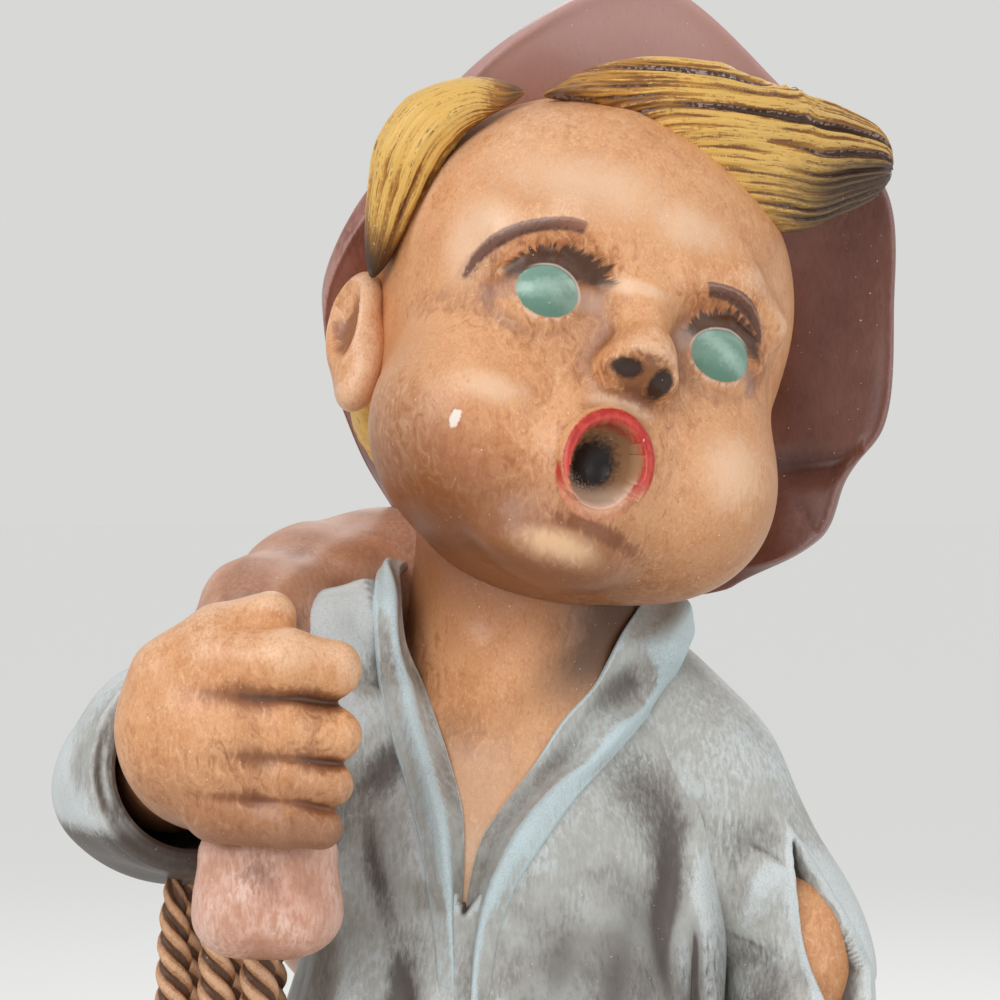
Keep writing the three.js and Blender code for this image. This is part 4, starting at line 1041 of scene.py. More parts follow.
class FIGURINE_OT_hair(bpy.types.Operator):
    """Models the forelock, the side tuft and the back hair, each combed into strands"""
    bl_idname = "figurine.hair"
    bl_label = "Hair"

    def execute(self, context):
        settings = context.scene.figurine
        depth = settings.sizes.strand_depth / MM
        material = hair_paint(settings)
        for name, make in (("forelock", self.forelock), ("side_tuft", self.tuft), ("back_hair", self.cap)):
            points, comb, shade = make(depth)
            piece = dress(name, from_head(points), "hair", material, comb=comb, shade=shade)
            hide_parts(name)
        return {"FINISHED"}

    @staticmethod
    def forelock(depth):
        """A swept wave of hair. Its grooves are level to its widest place, and then close up to its tip."""
        path = curve((-25, -23, 43), (-16, -26, 47.5), (-6.7, -27.5, 49.6), (3.8, -28.5, 48.9),
                     (14.8, -28, 47.3), (24, -26, 47.8), (33.1, -22, 52.6), (42.7, -17, 57.6),
                     (48, -14, 59))
        halves = (1.0, 4.0, 6.6, 10.6, 13.2, 14.2, 11.2, 7.6, 4.5)
        widest = 0.62

        def half(t):
            return np.interp(t, np.linspace(0, 1, len(halves)), halves)

        cells = 240, 260
        points = bar(path, lambda t: (half(t), 2.5 + 4.5 * np.sin(math.pi * t ** 1.2)), UP, 10, *cells)
        u, v = grid(*cells)
        t = drawn_to_ends(v)
        held = np.minimum(t, widest)
        level = path(held) @ (head_turn().T @ np.array(UP, float)) + half(held) * np.cos(2 * math.pi * u)
        level -= (path(np.array(widest)) @ (head_turn().T @ np.array(UP, float)))
        front = step(-np.sin(2 * math.pi * u), -0.2, 0.3)
        amount = np.zeros(u.shape)
        for place, start, end, width, share in (
                (15.2, 0.16, 0.54, 1.2, 1.1), (11.6, 0.2, 0.8, 0.5, 0.4), (7.2, 0.3, 0.99, 0.95, 1.25),
                (4.6, 0.42, 0.8, 0.5, 0.4), (1.3, 0.5, 1.0, 0.85, 1.0), (-1.0, 0.42, 0.75, 0.45, 0.4),
                (-3.2, 0.5, 1.0, 0.6, 0.7), (-5.0, 0.44, 0.9, 0.5, 0.6), (-6.8, 0.5, 0.95, 0.6, 0.7),
                (-8.6, 0.5, 0.9, 0.5, 0.6), (-10.2, 0.52, 0.86, 0.5, 0.6), (-11.8, 0.54, 0.8, 0.5, 0.5),
                (-13.2, 0.56, 0.75, 0.5, 0.5), (13.8, 0.4, 0.7, 0.4, 0.3)):
            open_here = np.maximum(np.sin(math.pi * np.clip((t - start) / (end - start), 0, 1)), 0) ** 0.6
            amount -= depth * share * open_here * bump(level - place - 0.5 * np.sin(7 * t), width)
        amount += 0.12 * depth * np.sin(3.1 * level + 2 * np.sin(6 * t)) + 0.08 * depth * np.sin(7.3 * level)
        points = pushed(points, amount * front * np.clip(half(t) / 5 - 0.3, 0, 1))
        comb = np.stack([level, 0 * level, 9 * t], -1)
        # Painted shade on the lock's lower side towards its tip
        shade = 1.2 * step(t, 0.35, 0.85) * step(-level, -7, 7)
        return points, comb, shade

    @staticmethod
    def tuft(depth):
        """A lock that arches from the parting over the temple, and thins to a tip before the ear, darkened
        towards it
            by painted shade.
        """
        path = curve((-28, -21, 43.4), (-37, -19.5, 38.6), (-43, -17.5, 32), (-45, -15, 25.2),
                     (-44.8, -12.5, 19.5), (-44.4, -10, 13.6), (-43.6, -7, 8.4), (-43, -4.5, 4))
        halves = (1.2, 4.4, 6.4, 6.4, 5.4, 4.0, 2.6, 1.2)

        def half(t):
            return np.interp(t, np.linspace(0, 1, len(halves)), halves)

        cells = 160, 180
        points = bar(path, lambda t: (half(t), 0.6 + 1.1 * half(t)), (1, 0, 0.4), 10, *cells)
        u, v = grid(*cells)
        t = drawn_to_ends(v)
        points = pushed(points, combed(u, t, 10, 0.65 * depth, 8) * np.clip(half(t) / 4 - 0.4, 0, 1))
        comb = np.stack([6 * np.cos(2 * math.pi * u), 6 * np.sin(2 * math.pi * u), 5 * t], -1)
        # Painted shade towards the tuft's tip
        return points, comb, step(t, 0.5, 1.0)

    @staticmethod
    def cap(depth):
        """The hair under the hat, in front of which the face begins, cut round over the nape."""
        lean = math.radians(18)

        def hairline(p):
            return (p[..., 1] - 8) * math.cos(lean) + p[..., 2] * math.sin(lean)

        def nape(p):
            return p[..., 2] + 22

        cap = carved(2, carved(6, egg((0, 7.5, 5.5), (SKULL_HALF_WIDTH + 1.4, 44, 42)), nape), hairline)
        points = around_point(cap, (0, 16, 6), pole=(0, 1, 0), columns=240, rows=150)
        around = np.arctan2(points[..., 0], points[..., 1] - 8)
        strands = np.sin(46 * around + 2.2 * np.sin(points[..., 2] / 9))
        strands += 0.6 * np.sin(67 * around + points[..., 2] / 6)
        points = pushed(points, 0.25 * depth * strands * step(points[..., 1], 6, 14))
        comb = np.stack([around * 40, 0 * around, 0.1 * points[..., 2]], -1)
        # Painted shade all over the back hair, under the hat
        return points, comb, 0.35 + 0 * around


class FIGURINE_OT_hat(bpy.types.Operator):
    """Models the slouch hat: a bowed brim that folds at the left cheek, and a dented crown"""
    bl_idname = "figurine.hat"
    bl_label = "Hat"

    def execute(self, context):
        material = hat_paint(context.scene.figurine)
        piece = dress("hat_brim", from_head(self.brim()), "hat", material, ring=True)
        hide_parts("hat_brim")
        piece = dress("hat_crown", from_head(self.crown()), "hat", material)
        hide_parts("hat_crown")
        return {"FINISHED"}

    def brim(self):
        """A strip from the root ring to the rim ring, as thick as its swell: a flat oval section."""
        root = curve((0, -2, 50), (22, 0, 46), (36, 6, 34), (40, 10, 18), (40, 14, 4), (38, 18, -6),
                     (34, 22, -16), (24, 30, -26), (0, 38, -30), (-22, 34, -18), (-38, 14, 2), (-38, 4, 30),
                     (-22, -1, 45), closed=True)
        rim = curve((-7, -12, 79), (26, -10, 68), (50, -9, 57.5), (60, -3, 36), (65, 1, 14), (61, 4, 3),
                    (60, 7, -10), (47, 14, -22), (6, 50, -30), (-16, 45, -20), (-48.0, 12, 3.5),
                    (-42.6, -4, 32), (-30, -10, 60), closed=True)
        v, u = np.meshgrid(np.arange(110) / 110, np.arange(340) / 340)
        inner = root(u)
        outward = rim(u) - inner
        width = length(outward)
        outward = unit(outward)
        up = unit(np.cross(outward, slope(root, u)))
        angle = 2 * math.pi * v
        share = (1 + np.cos(angle)) / 2
        swell = np.sign(np.sin(angle)) * np.abs(np.sin(angle)) ** 0.4
        edge = 1 + 0.35 * bump(1 - share, 0.09)
        thick = BRIM_THICKNESS / 2 * swell * edge
        points = inner + outward * (share * width)[..., None] + up * thick[..., None]
        return points + up * (1.1 * rough(points, 16, 12) * share + self.cheek_fold(points))[..., None]

    @staticmethod
    def cheek_fold(points):
        """The crease that runs in from the notch in the rim, with a full lobe below it."""
        crease = curve((63, 2, 6), (54, 6, 3), (45, 9, 0))
        lobe = curve((56, 6, -8), (50, 9, -14), (43, 12, -20))
        return -fold(points, crease, -2.6, 3.4) - fold(points, lobe, 2.2, 8)

    def crown(self):
        """A ball with a long dent on top and soft folds round its sides."""
        field = carved(12, egg((2, 22, 31), (38, 37, 35)), egg((3, 40, 66), (8, 26, 9)))
        points = around_point(field, (2, 22, 28), columns=200, rows=140)
        around = np.arctan2(points[..., 0], points[..., 1] - 22)
        sag = np.sin(5 * around + points[..., 2] / 14) * bump(points[..., 2] - 26, 22)
        return pushed(points, 0.9 * rough(points, 15, 21) + 0.7 * sag)


def trunk_field(p):
    """The body under the shirt: hem, belly, chest and the slopes of the shoulders, blended."""
    body = blend(12, egg((-1, -1, 196), (47, 40, 26)), egg((-1, -2, 220), (41, 35, 34)),
                 egg((-1, 0, 254), (37, 31, 34)), rod((4, 4, 296), LEFT_SHOULDER, 14, 14),
                 rod((4, 4, 296), RIGHT_SHOULDER, 14, 14))
    return body(p)


def torso_field(p):
    """The loose shirt: the trunk with the lifted right shoulder and the cloth under the left arm."""
    lifted = limb(6, (YOKE_INNER, YOKE_RADIUS), (YOKE_OUTER, YOKE_RADIUS), ((-31, -10, 284), 10),
                  ((-25, -8, 262), 12))
    under_arm = egg((36, 2, 234), (8.5, 20, 32))
    return smooth_min(smooth_min(trunk_field(p), lifted(p), 10), under_arm(p), 6)


def opening_depth(p):
    """How far inside the open V a place is, across its edges: the lesser of its two sides."""
    x, z = p[..., 0], p[..., 2]
    share = np.clip((z - OPENING_FOOT[1]) / (OPENING_TOP - OPENING_FOOT[1]), -1, 1)
    left = OPENING_FOOT[0] + (OPENING_LEFT - OPENING_FOOT[0]) * share - x
    right = x - OPENING_FOOT[0] - (OPENING_RIGHT - OPENING_FOOT[0]) * share
    return np.minimum(left, right) * 0.85


def cloth_paint(settings):
    colours = settings.colours
    return plain_paint("painted_shirt", (colours.shirt, colours.shirt_stain_and_shade, colours.shirt_light), 0.42,
                       ridge=(0.05, 0.5), recess=(0.0, -0.45), patches=0.55)


class FIGURINE_OT_shirt(bpy.types.Operator):
    """Models the shirt body with its folds, open down the chest, and the two collar rolls"""
    bl_idname = "figurine.shirt"
    bl_label = "Shirt"

    def execute(self, context):
        settings = context.scene.figurine
        material = cloth_paint(settings)
        points = self.body(settings.sizes.fold_depth / MM)
        # Painted shade: the shirt's front darker towards its bottom on the boy's left
        shade = 0.62 * step(-points[..., 2], -262, -236) * step(points[..., 0], -8, 22)
        shade *= step(-points[..., 1], 0, 12)
        piece = dress("shirt", points, "shirt", material, shade=shade)
        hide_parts("shirt")
        colours = settings.colours
        material = plain_paint("painted_lapels", (colours.shirt, colours.shirt_stain_and_shade, tone("c9dfe6")), 0.4,
                               ridge=(0.0, 0.5), recess=(-0.25, -1.0), patches=0.5)
        for name, points in (("left_collar", self.left_lapel()), ("right_collar", self.right_lapel())):
            piece = dress(name, points, "shirt", material)
            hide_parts(name)
        return {"FINISHED"}

    def body(self, depth):
        def field(p):
            sunk = 8 * step(opening_depth(p), -3.6, -1.4) * step(-p[..., 1], -6, 2)
            return smooth_max(torso_field(p) + sunk, SHIRT_HEM - p[..., 2], 3)

        points = around_point(field, (0, 0, 250), columns=340, rows=200)
        x, z = points[..., 0], points[..., 2]
        around = np.arctan2(x, -points[..., 1])
        low = 1 - step(z, 205, 262)
        amount = 0.55 * depth * low * np.sin(7 * around + 0.9 * np.sin(z / 17) + 0.4)
        amount += 0.25 * depth * low * np.sin(15 * around + 1.3 * np.sin(z / 11))
        amount += 0.3 * rough(points, 12, 4)
        for line, height, width in self.folds(depth):
            amount += fold(points, line, height, width)
        amount *= 1 - step(opening_depth(points), -6, -1) * step(-points[..., 1], -6, 2)
        return pushed(points, amount)

    @staticmethod
    def folds(depth):
        """The folds that the open collar, the armpits and the belly pull in the cloth."""
        return (
            (curve((22, -29, 284), (14, -31, 272), (4, -33, 258)), -0.5 * depth, 2.4),
            (curve((35, -18, 271), (36.5, -20, 256), (38, -19, 240), (38, -17, 220)), -1.6 * depth, 3.0),
            (curve((31, -24, 264), (31, -27, 246), (29, -32, 222)), 0.8 * depth, 2.6),
            (curve((-26, -17, 306), (-26, -20, 297), (-25, -22, 286)), -0.4 * depth, 2.0),
            (curve((28, -27, 262), (20, -33, 244), (12, -37, 226)), 0.6 * depth, 4.5),
            (curve((-26, -24, 268), (-22, -30, 246), (-16, -35, 222)), -0.7 * depth, 3.2),
            (curve((-34, -20, 262), (-32, -26, 240), (-27, -33, 214)), 0.8 * depth, 4.5),
            (curve((-14, -32, 252), (-12, -35, 236), (-11, -37, 216)), 0.5 * depth, 3.4),
            (curve((2, -35, 240), (8, -37, 224), (10, -40, 206)), -0.5 * depth, 3.2),
            (curve((28, 24, 268), (24, 31, 244), (18, 35, 214)), 0.8 * depth, 5.0),
            (curve((34, 12, 262), (37, 16, 238), (36, 22, 212)), -0.9 * depth, 4.0),
        )

    @staticmethod
    def laid(field, level, *places):
        """Stops of a path: those given as x and z lie a level over a field's front."""
        stops = []
        for place in places:
            if len(place) == 2:
                place = cast(field, np.array([place[0], 2.0, place[1]]), np.array(FORWARD, float), level)
            stops.append(place)
        return stops

    @classmethod
    def left_lapel(cls):
        """Stands round the neck, rolls over down the V and runs on as the placket."""
        inner = cls.laid(bare_chest, 0.4, (5.6, 24, 309), (20, 19, 310), (28, 4, 309), (22.5, -12, 300),
                         (18.3, 291.8), (12, 285), (7, 277.7), (1.6, 270.7), (-3.1, 264), (-5.2, 257),
                         (-6.3, 248), (-6.4, 235), (-6.2, 222))
        outer = cls.laid(torso_field, 0.2, (5.8, 30, 300), (27, 25, 300), (37, 5, 301), (35.5, -7, 297),
                         (31.8, 289.8), (26, 283), (19.8, 276.5), (13.3, 270), (7.5, 262.5), (2.8, 255),
                         (0, 247), (-1.8, 234.5), (-2.2, 221.5))
        return lapel(curve(*inner), curve(*outer), 1, 0.68, 3.0)

    @classmethod
    def right_lapel(cls):
        """Stands round the neck under the sack and comes down the other side of the V."""
        inner = cls.laid(bare_chest, 0.4, (4.4, 24, 309), (-11, 19, 311), (-18.5, 3, 313.5),
                         (-18.8, -10, 307), (-17.8, -13.2, 299.2), (-14.3, 290.7), (-11.5, 283.4),
                         (-8.9, 275.8), (-6.9, 268.5), (-6.6, 260), (-7.2, 250), (-7.4, 238), (-7.2, 225))
        outer = cls.laid(torso_field, 0.2, (4.2, 30, 300), (-16, 25, 305), (-23, 4, 312),
                         (-23.6, -15, 307.5), (-23.2, -16.6, 300), (-22.4, 290.5), (-20, 281),
                         (-17.3, 272.5), (-15, 264), (-13.5, 256), (-12.4, 248), (-11.6, 238), (-11.2, 225))
        return lapel(curve(*inner), curve(*outer), -1, 0.55, 2.6)


def bare_chest(p):
    """The chest a cloth's thickness under the shirt, blended into the neck."""
    neck = rod(NECK_FOOT, NECK_TOP, NECK_RADIUS + 1.5, NECK_RADIUS)
    return smooth_min(trunk_field(p) + CLOTH, neck(p), 6)


class FIGURINE_OT_chest(bpy.types.Operator):
    """Models the bare neck and chest in the open shirt"""
    bl_idname = "figurine.chest"
    bl_label = "Neck and chest"

    def execute(self, context):
        def field(p):
            return smooth_max(bare_chest(p), CHEST_FOOT - p[..., 2], 3)

        points = along_path(field, curve((2, 1, 262), NECK_FOOT, NECK_TOP - (0, 0, 8)), columns=160, rows=150)
        amount = 0.2 * rough(points, 9, 14)
        amount += fold(points, curve((-2, -24, 300), (-3, -27, 285), (-4, -30, 262)), -0.8, 3.5)
        for side in (1, -1):
            amount += fold(points, curve((2 + side * 3, -20, 298), (4 + side * 14, -18, 300)), 0.7, 3)
        material = chest_paint(context.scene.figurine.colours)
        piece = dress("neck_and_chest", pushed(points, amount), "skin", material)
        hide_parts("neck_and_chest")
        return {"FINISHED"}


def sleeve_grid(path, profile, side, columns, rows):
    """A surface turned about a path: its rows follow a profile of places along the path and radii."""
    u, v = grid(columns, rows)
    stops = np.array(profile, float)
    ticks = np.linspace(0, 1, len(stops))
    along, radius = np.interp(v, ticks, stops[:, 0]), np.interp(v, ticks, stops[:, 1])
    radius[0], radius[-1] = 0, 0
    inside = np.clip(along, 0, 1)
    axis = slope(path, np.clip(inside, 0.001, 0.999))
    across = unit(np.array(side, float) - axis * (axis * np.array(side, float)).sum(-1, keepdims=True))
    ray = across * np.cos(2 * math.pi * u)[..., None]
    ray = ray + np.cross(across, axis) * np.sin(2 * math.pi * u)[..., None]
    return path(inside) + ray * radius[..., None]


class FIGURINE_OT_sleeves(bpy.types.Operator):
    """Models the right sleeve with its wide cuff, the torn left sleeve and the bare elbow in the tear"""
    bl_idname = "figurine.sleeves"
    bl_label = "Sleeves"

    def execute(self, context):
        settings = context.scene.figurine
        depth = settings.sizes.fold_depth / MM
        material = cloth_paint(settings)
        points = self.right(depth)
        # Painted shade on the lower side of the right sleeve
        sleeve_underside_shade = 1.3 * step(-points[..., 2], -271, -261)
        piece = dress("right_sleeve", points, "shirt", material, shade=sleeve_underside_shade)
        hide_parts("right_sleeve")
        points = self.left(depth)
        # Painted shade in the armpit crease of the left sleeve
        armpit_crease_shade = fold(points, curve(*ARMPIT_CREASE), 1.0, 3.2)
        piece = dress("left_sleeve", points, "shirt", material, shade=armpit_crease_shade)
        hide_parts("left_sleeve")
        skin = skin_paint("painted_elbow", settings.colours)
        points = around_point(egg(LEFT_ELBOW + (0, -1, 0), (11.6, 12.8, 18)), LEFT_ELBOW, columns=90, rows=70)
        piece = dress("left_elbow", pushed(points, 0.25 * rough(points, 7, 2)), "skin", skin)
        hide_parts("left_elbow")
        return {"FINISHED"}

    def right(self, depth):
        """Shoulder to cuff on the outside, over the rim, and back into the dark mouth."""
        path = curve(RIGHT_SHOULDER + (6, 2, 0), RIGHT_SHOULDER + (-16, -4, -1), RIGHT_ELBOW + (2, 0, 0.5),
                     CUFF + (2, 0, 0.5))
        profile = [(0, 0), (0.0, 9), (0.03, 14), (0.1, 16), (0.2, 17), (0.33, 18), (0.45, 19.2),
                   (0.58, 19.8), (0.7, 20.0), (0.8, 20.0), (0.88, 20.2), (0.93, 20.1), (0.96, 19.7),
                   (0.98, 18.9), (0.993, 17.8), (1.0, 16.5), (1.0, 15.3), (0.99, 14.5), (0.95, 14.3),
                   (0.88, 14.5), (0.78, 14), (0.68, 8), (0.68, 0)]
        cells = 220, 230
        points = soften(sleeve_grid(path, profile, UP, *cells), 1.1)
        u, v = grid(*cells)
        outer = 1 - step(v, 0.64, 0.7)
        turn = 2 * math.pi * u
        amount = 0.35 * depth * np.sin(4 * turn + 5 * v + 1) * bump(v - 0.35, 0.22)
        pleats = bump(v - 0.3, 0.14) * (0.6 - 0.4 * np.cos(turn - 1))
        amount += 0.3 * depth * np.sin(40 * v + 2.2 * np.cos(turn)) * pleats
        amount += 0.5 * rough(points, 11, 6) + 0.5 * bump(v - 0.6, 0.03)
        return pushed(points, amount * outer * step(v, 0.0, 0.1))

    def left(self, depth):
        """A loose tube to the wrist. Its surface sinks below the elbow in the tear, whose edges stand up."""
        path = curve((18, 9, 294), (27.5, 8, 285), (38.5, 4, 273), LEFT_SHOULDER + (11, 0, -12.4),
                     LEFT_ELBOW, (56, -6, 216), (47, -18, 198))
        cells = 220, 260
        points = round_bar(path, lambda t: LEFT_SLEEVE_RADIUS - 2 * t, LEFT, 8, *cells)
        u, v = grid(*cells)
        turn = 2 * math.pi * u
        amount = 0.35 * depth * np.sin(34 * v + 2.5 * np.cos(turn + 0.6)) * bump(v - 0.8, 0.12)
        amount += 0.2 * depth * np.sin(3 * turn + 6 * v) * bump(v - 0.5, 0.18) + 0.35 * rough(points, 10, 9)
        for line, height, width in (
                (curve((54, -8, 270), (57, -9, 262), (58, -10, 254)), -0.35 * depth, 1.4),
                (curve((52, -10, 258), (48.5, -13, 251), (45, -12, 243)), 0.6 * depth, 4.0),
                (curve(*ARMPIT_CREASE), -1.2 * depth, 2.4),
                (curve((66, -4, 262), (71, -4, 250), (72, -5, 234)), 0.8 * depth, 4.5),
                (curve((48, -14, 241), (45, -16, 236), (42, -17, 229)), -0.4 * depth, 1.6)):
            amount += fold(points, line, height, width)
        tear = self.tear_depth(points)
        rim = 1.5 * bump(tear - 0.4, 1.6) * (tear > -6)
        return pushed(points, amount * (1 - step(tear, -3, 0)) + rim - 7.5 * step(tear, -0.6, 0.9))

    @staticmethod
    def tear_depth(points):
        """How far inside the tear's almond outline a place is, on the outer front of the sleeve."""
        q = points - (LEFT_ELBOW + (8.2, -13.8, -1))
        q = q + np.maximum(q[..., 2:], 0) * (0.3, 0, 0)
        right = np.array([0.8, 0.6, 0.0])
        reach = np.hypot(q @ right / (5.8 * np.maximum(1 - np.abs(q[..., 2]) / 44, 0.1)), q[..., 2] / 23)
        front = step(-(q @ np.array([0.6, -0.8, 0.0])), 9, 4)
        return (1 - reach) * 5.8 * front - 8 * (1 - front)


class FIGURINE_OT_hands(bpy.types.Operator):
    """Models the right fist on the sack's neck and the left hand at the pocket"""
    bl_idname = "figurine.hands"
    bl_label = "Hands"

    def execute(self, context):
        settings = context.scene.figurine
        # Painted shade: near black in the finger slits, and darker low on the hands
        material = skin_paint("painted_hands", settings.colours, ridge=(0.4, 1.4), deep=(-0.45, -1.1),
                              shaded=(287, 266))
        piece = dress("right_hand", self.fist(settings.sizes.finger_groove / MM), "skin", material)
        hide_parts("right_hand")
        piece = dress("left_hand", self.pocket_hand(), "skin", material)
        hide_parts("left_hand")
        return {"FINISHED"}

    # Each finger's radius, its height over the fist's middle and how far its tip reaches
    FINGERS = ((5.5, 10.9, 26.6), (4.9, -0.6, 26.6), (4.2, -9.2, 25.0), (4.2, -16.6, 23.2))

    def fist(self, groove):
        """The back of the hand, and four fingers with slits between them, and the thumb along the top."""
        wrist = unit(CUFF - RIGHT_ELBOW)
        back = blend(8, egg(FIST + (-2, 0.5, -1), (15, 11, 17.5)), rod(CUFF - 14 * wrist, FIST, 11, 11.5),
                     egg(FIST + (9, -2, -2), (13, 7.5, 18)))
        fingers = []
        for radius, height, reach in self.FINGERS:
            knuckle, middle = FIST + (1, -6.5, height + 1), FIST + (13, -9, height + 0.3)
            tip = FIST + (reach - radius, -7, height - 1)
            fingers.append(limb(2, (knuckle, radius), (middle, radius), (tip, 0.92 * radius)))
        thumb = limb(2, (FIST + (-8, -2, 9), 6), (FIST + (1, -3, 15.5), 5.2), (FIST + (10, -3, 18.6), 4.6))
        field = blend(5, back, blend(0.9, *fingers))
        field = blend(2.5, field, thumb)
        for height, start, drop in ((4.9, 8, -1.0), (-5.0, 9, -1.0), (-13.0, 8, -1.4)):
            slit = limb(1, (FIST + (start, -16.5, height + 0.6), 0.3),
                        (FIST + (16, -14.4, height), 0.3 * groove),
                        (FIST + (29, -9.5, height + drop), 0.42 * groove))
            field = carved(0.9, field, slit)
        points = around_point(field, FIST + (3, 1, -2), pole=(-1, 0.6, 0), side=UP, columns=280, rows=230)
        amount = 0.12 * rough(points, 6, 17)
        thumb_line = curve(FIST + (-3, -9, 13), FIST + (5, -10, 13.2), FIST + (14, -8, 16))
        amount += fold(points, thumb_line, -0.9, 1.1)
        for _, height, _ in self.FINGERS:
            line = curve(FIST + (17.5, -15.5, height + 4), FIST + (18, -16.5, height),
                         FIST + (17.5, -15.5, height - 4))
            amount += fold(points, line, -0.3, 0.8)
        return pushed(points, amount)

    @staticmethod
    def pocket_hand():
        """The back of the hand with its fingers going down into the pocket."""
        palm = limb(6, ((48, -17, 204), 8.2), ((44, -21, 194), 9.2), (POCKET, 9.4))
        fingers = [rod(POCKET + (5 - 4.6 * i, -2.5, 0), POCKET + (0.5 - 4.4 * i, -3.5, -drop), 4, 3.6)
                   for i, drop in enumerate((11, 13, 13, 11))]
        thumb = limb(2, (POCKET + (-7, -4, 6), 4.2), (POCKET + (-11, -6, -4), 3.6))
        field = blend(2.5, palm, *fingers, thumb)
        path = curve((47, -17.5, 201), (44, -20, 194), POCKET + (0, 1, -2))
        points = along_path(field, path, columns=110, rows=100, caps=(0.15, 0.4))
        return pushed(points, 0.12 * rough(points, 6, 18))


class FIGURINE_OT_sack(bpy.types.Operator):
    """Models the sack, whose gathered neck comes over the shoulder, and its end under the fist"""
    bl_idname = "figurine.sack"
    bl_label = "Sack"

    def execute(self, context):
        colours = context.scene.figurine.colours
        depth = context.scene.figurine.sizes.fold_depth / MM
        material = plain_paint("painted_sack", (colours.sack, colours.sack_stain, colours.sack_light), 0.42,
                               ridge=(0.2, 0.9), recess=(-0.1, -0.7), patches=0.45)
        piece = dress("sack", self.body(depth), "sack", material)
        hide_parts("sack")
        material = plain_paint("painted_sack_end", (tone("c58e74"), colours.sack_stain, tone("e9c6b6")), 0.4,
                               ridge=(0.5, 1.6), recess=(-0.1, -0.7), patches=0.9)
        piece = dress("sack_tail", self.tail(), "sack", material)
        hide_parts("sack_tail")
        return {"FINISHED"}

    @staticmethod
    def body(depth):
        over = [(FIST + (0, 5, 4), 7), ((-47.5, -33, 296), 8.5), ((-44.5, -8, 302), 12),
                ((-34, 14, 303.5), 17), ((-19, 27, 303), 20.5), (SACK_CENTRE + (-4, -6, 28), 23)]
        field = blend(14, egg(SACK_CENTRE + (0, 0, -9), (41, 29, 36)),
                      egg(SACK_CENTRE + (-4, -4, 24), (26, 23, 22)), limb(7, *over))
        path = curve(SACK_CENTRE + (0, 0, -9), SACK_CENTRE + (-3, -3, 14), (-19, 29, 299), (-34, 14, 302.5),
                     (-44.5, -8, 301), (-47.5, -33, 296), FIST + (0, 5, 4))
        columns, rows = 220, 240
        points = along_path(field, path, caps=(0.32, 0.06), columns=columns, rows=rows)
        u, v = grid(columns, rows)
        turn = 2 * math.pi * u
        gathered = step(v, 0.5, 0.95)
        amount = depth * gathered * (0.07 * np.sin(9 * turn + 5 * v) + 0.04 * np.sin(17 * turn - 7 * v))
        amount += 0.35 * depth * (1 - gathered) * np.sin(5 * turn + 8 * v) * step(v, 0.1, 0.3)
        return pushed(points, amount + 0.7 * rough(points, 14, 30))

    @staticmethod
    def tail():
        """A rounded wad of cloth, drawn in under the grip and creased from it."""
        centre = FIST + (9, 4, -30)
        wad = blend(5, block(centre + (0, 0, 1.5), (12.4, 7.4, 11), 6.4),
                    egg(centre + (0.3, -0.5, -3.5), (12.2, 7.8, 8)))
        points = around_point(wad, centre, columns=130, rows=100)
        amount = 0.35 * rough(points, 5, 31)
        for start, end in ((-8, -10), (6, 9)):
            middle = centre + (0.5 * (start + end), -7.8, 6)
            line = curve(centre + (start, -7.5, 11), middle, centre + (end, -7.8, 0))
            amount += fold(points, line, -0.45, 1.3)
        return pushed(points, amount)


class FIGURINE_OT_rope(bpy.types.Operator):
    """Lays up the three rope loops from twisted strands"""
    bl_idname = "figurine.rope"
    bl_label = "Rope"

    def execute(self, context):
        settings = context.scene.figurine
        colours, sizes = settings.colours, settings.sizes
        material = plain_paint("painted_rope", (colours.rope, colours.rope_stain, colours.rope_light), 0.5,
                               ridge=(0.12, 0.5), recess=(0.02, -0.35), stretch=(1, 1, 1))
        for i in range(3):
            piece = dress(f"rope_loop_{i + 1}", self.loop(i, sizes), "rope", material)
            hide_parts(f"rope_loop_{i + 1}")
        return {"FINISHED"}

    @staticmethod
    def loop(i, sizes):
        """A bar whose radius swells at each strand, and whose strands turn once in each pitch."""
        x = RIGHT_ELBOW[0] + 5.5 + i * ROPE_SPACING
        top = CUFF[2] - math.sqrt(CUFF_RIM ** 2 - (x + 61) ** 2) + 1
        bottom = RIGHT_ELBOW[2] - ELBOW_RADIUS - ROPE_DROP + 5 * i
        low = top + (bottom - top) * 0.6
        path = curve((x, -31, top), (x, -32, low), (x + 1, -28, bottom + 5), (x + 1, -21, bottom),
                     (x, -14, bottom + 5), (x, -10, low), (x, -11, top))
        cells = 48, 560
        points = round_bar(path, lambda t: ROPE_RADIUS + 0 * t, LEFT, 14, *cells)
        centre = points.mean(1)
        run = np.concatenate([[0], np.cumsum(length(np.diff(centre, axis=0)))])[:, None]
        u, v = grid(*cells)
        turn = sizes.strands * (2 * math.pi * u - 2 * math.pi * run / (sizes.rope_pitch / MM))
        strand = np.abs(np.cos(turn / 2))
        hairs = np.sin(5 * turn + 3 * np.cos(turn / 2))
        swell = 1.5 * strand ** 0.8 - 1.15 + 0.06 * hairs
        return pushed(points, swell * step(v, 0, 0.01) * (1 - step(v, 0.99, 1)))


def ankle(side, height):
    return np.array([side * STANCE, 2.0, height])


def knee(side):
    return np.array([side * STANCE, -4.0, KNEE_HEIGHT])


def hip(side):
    return np.array([side * (STANCE - 2), 0.0, HIP_HEIGHT - 8])


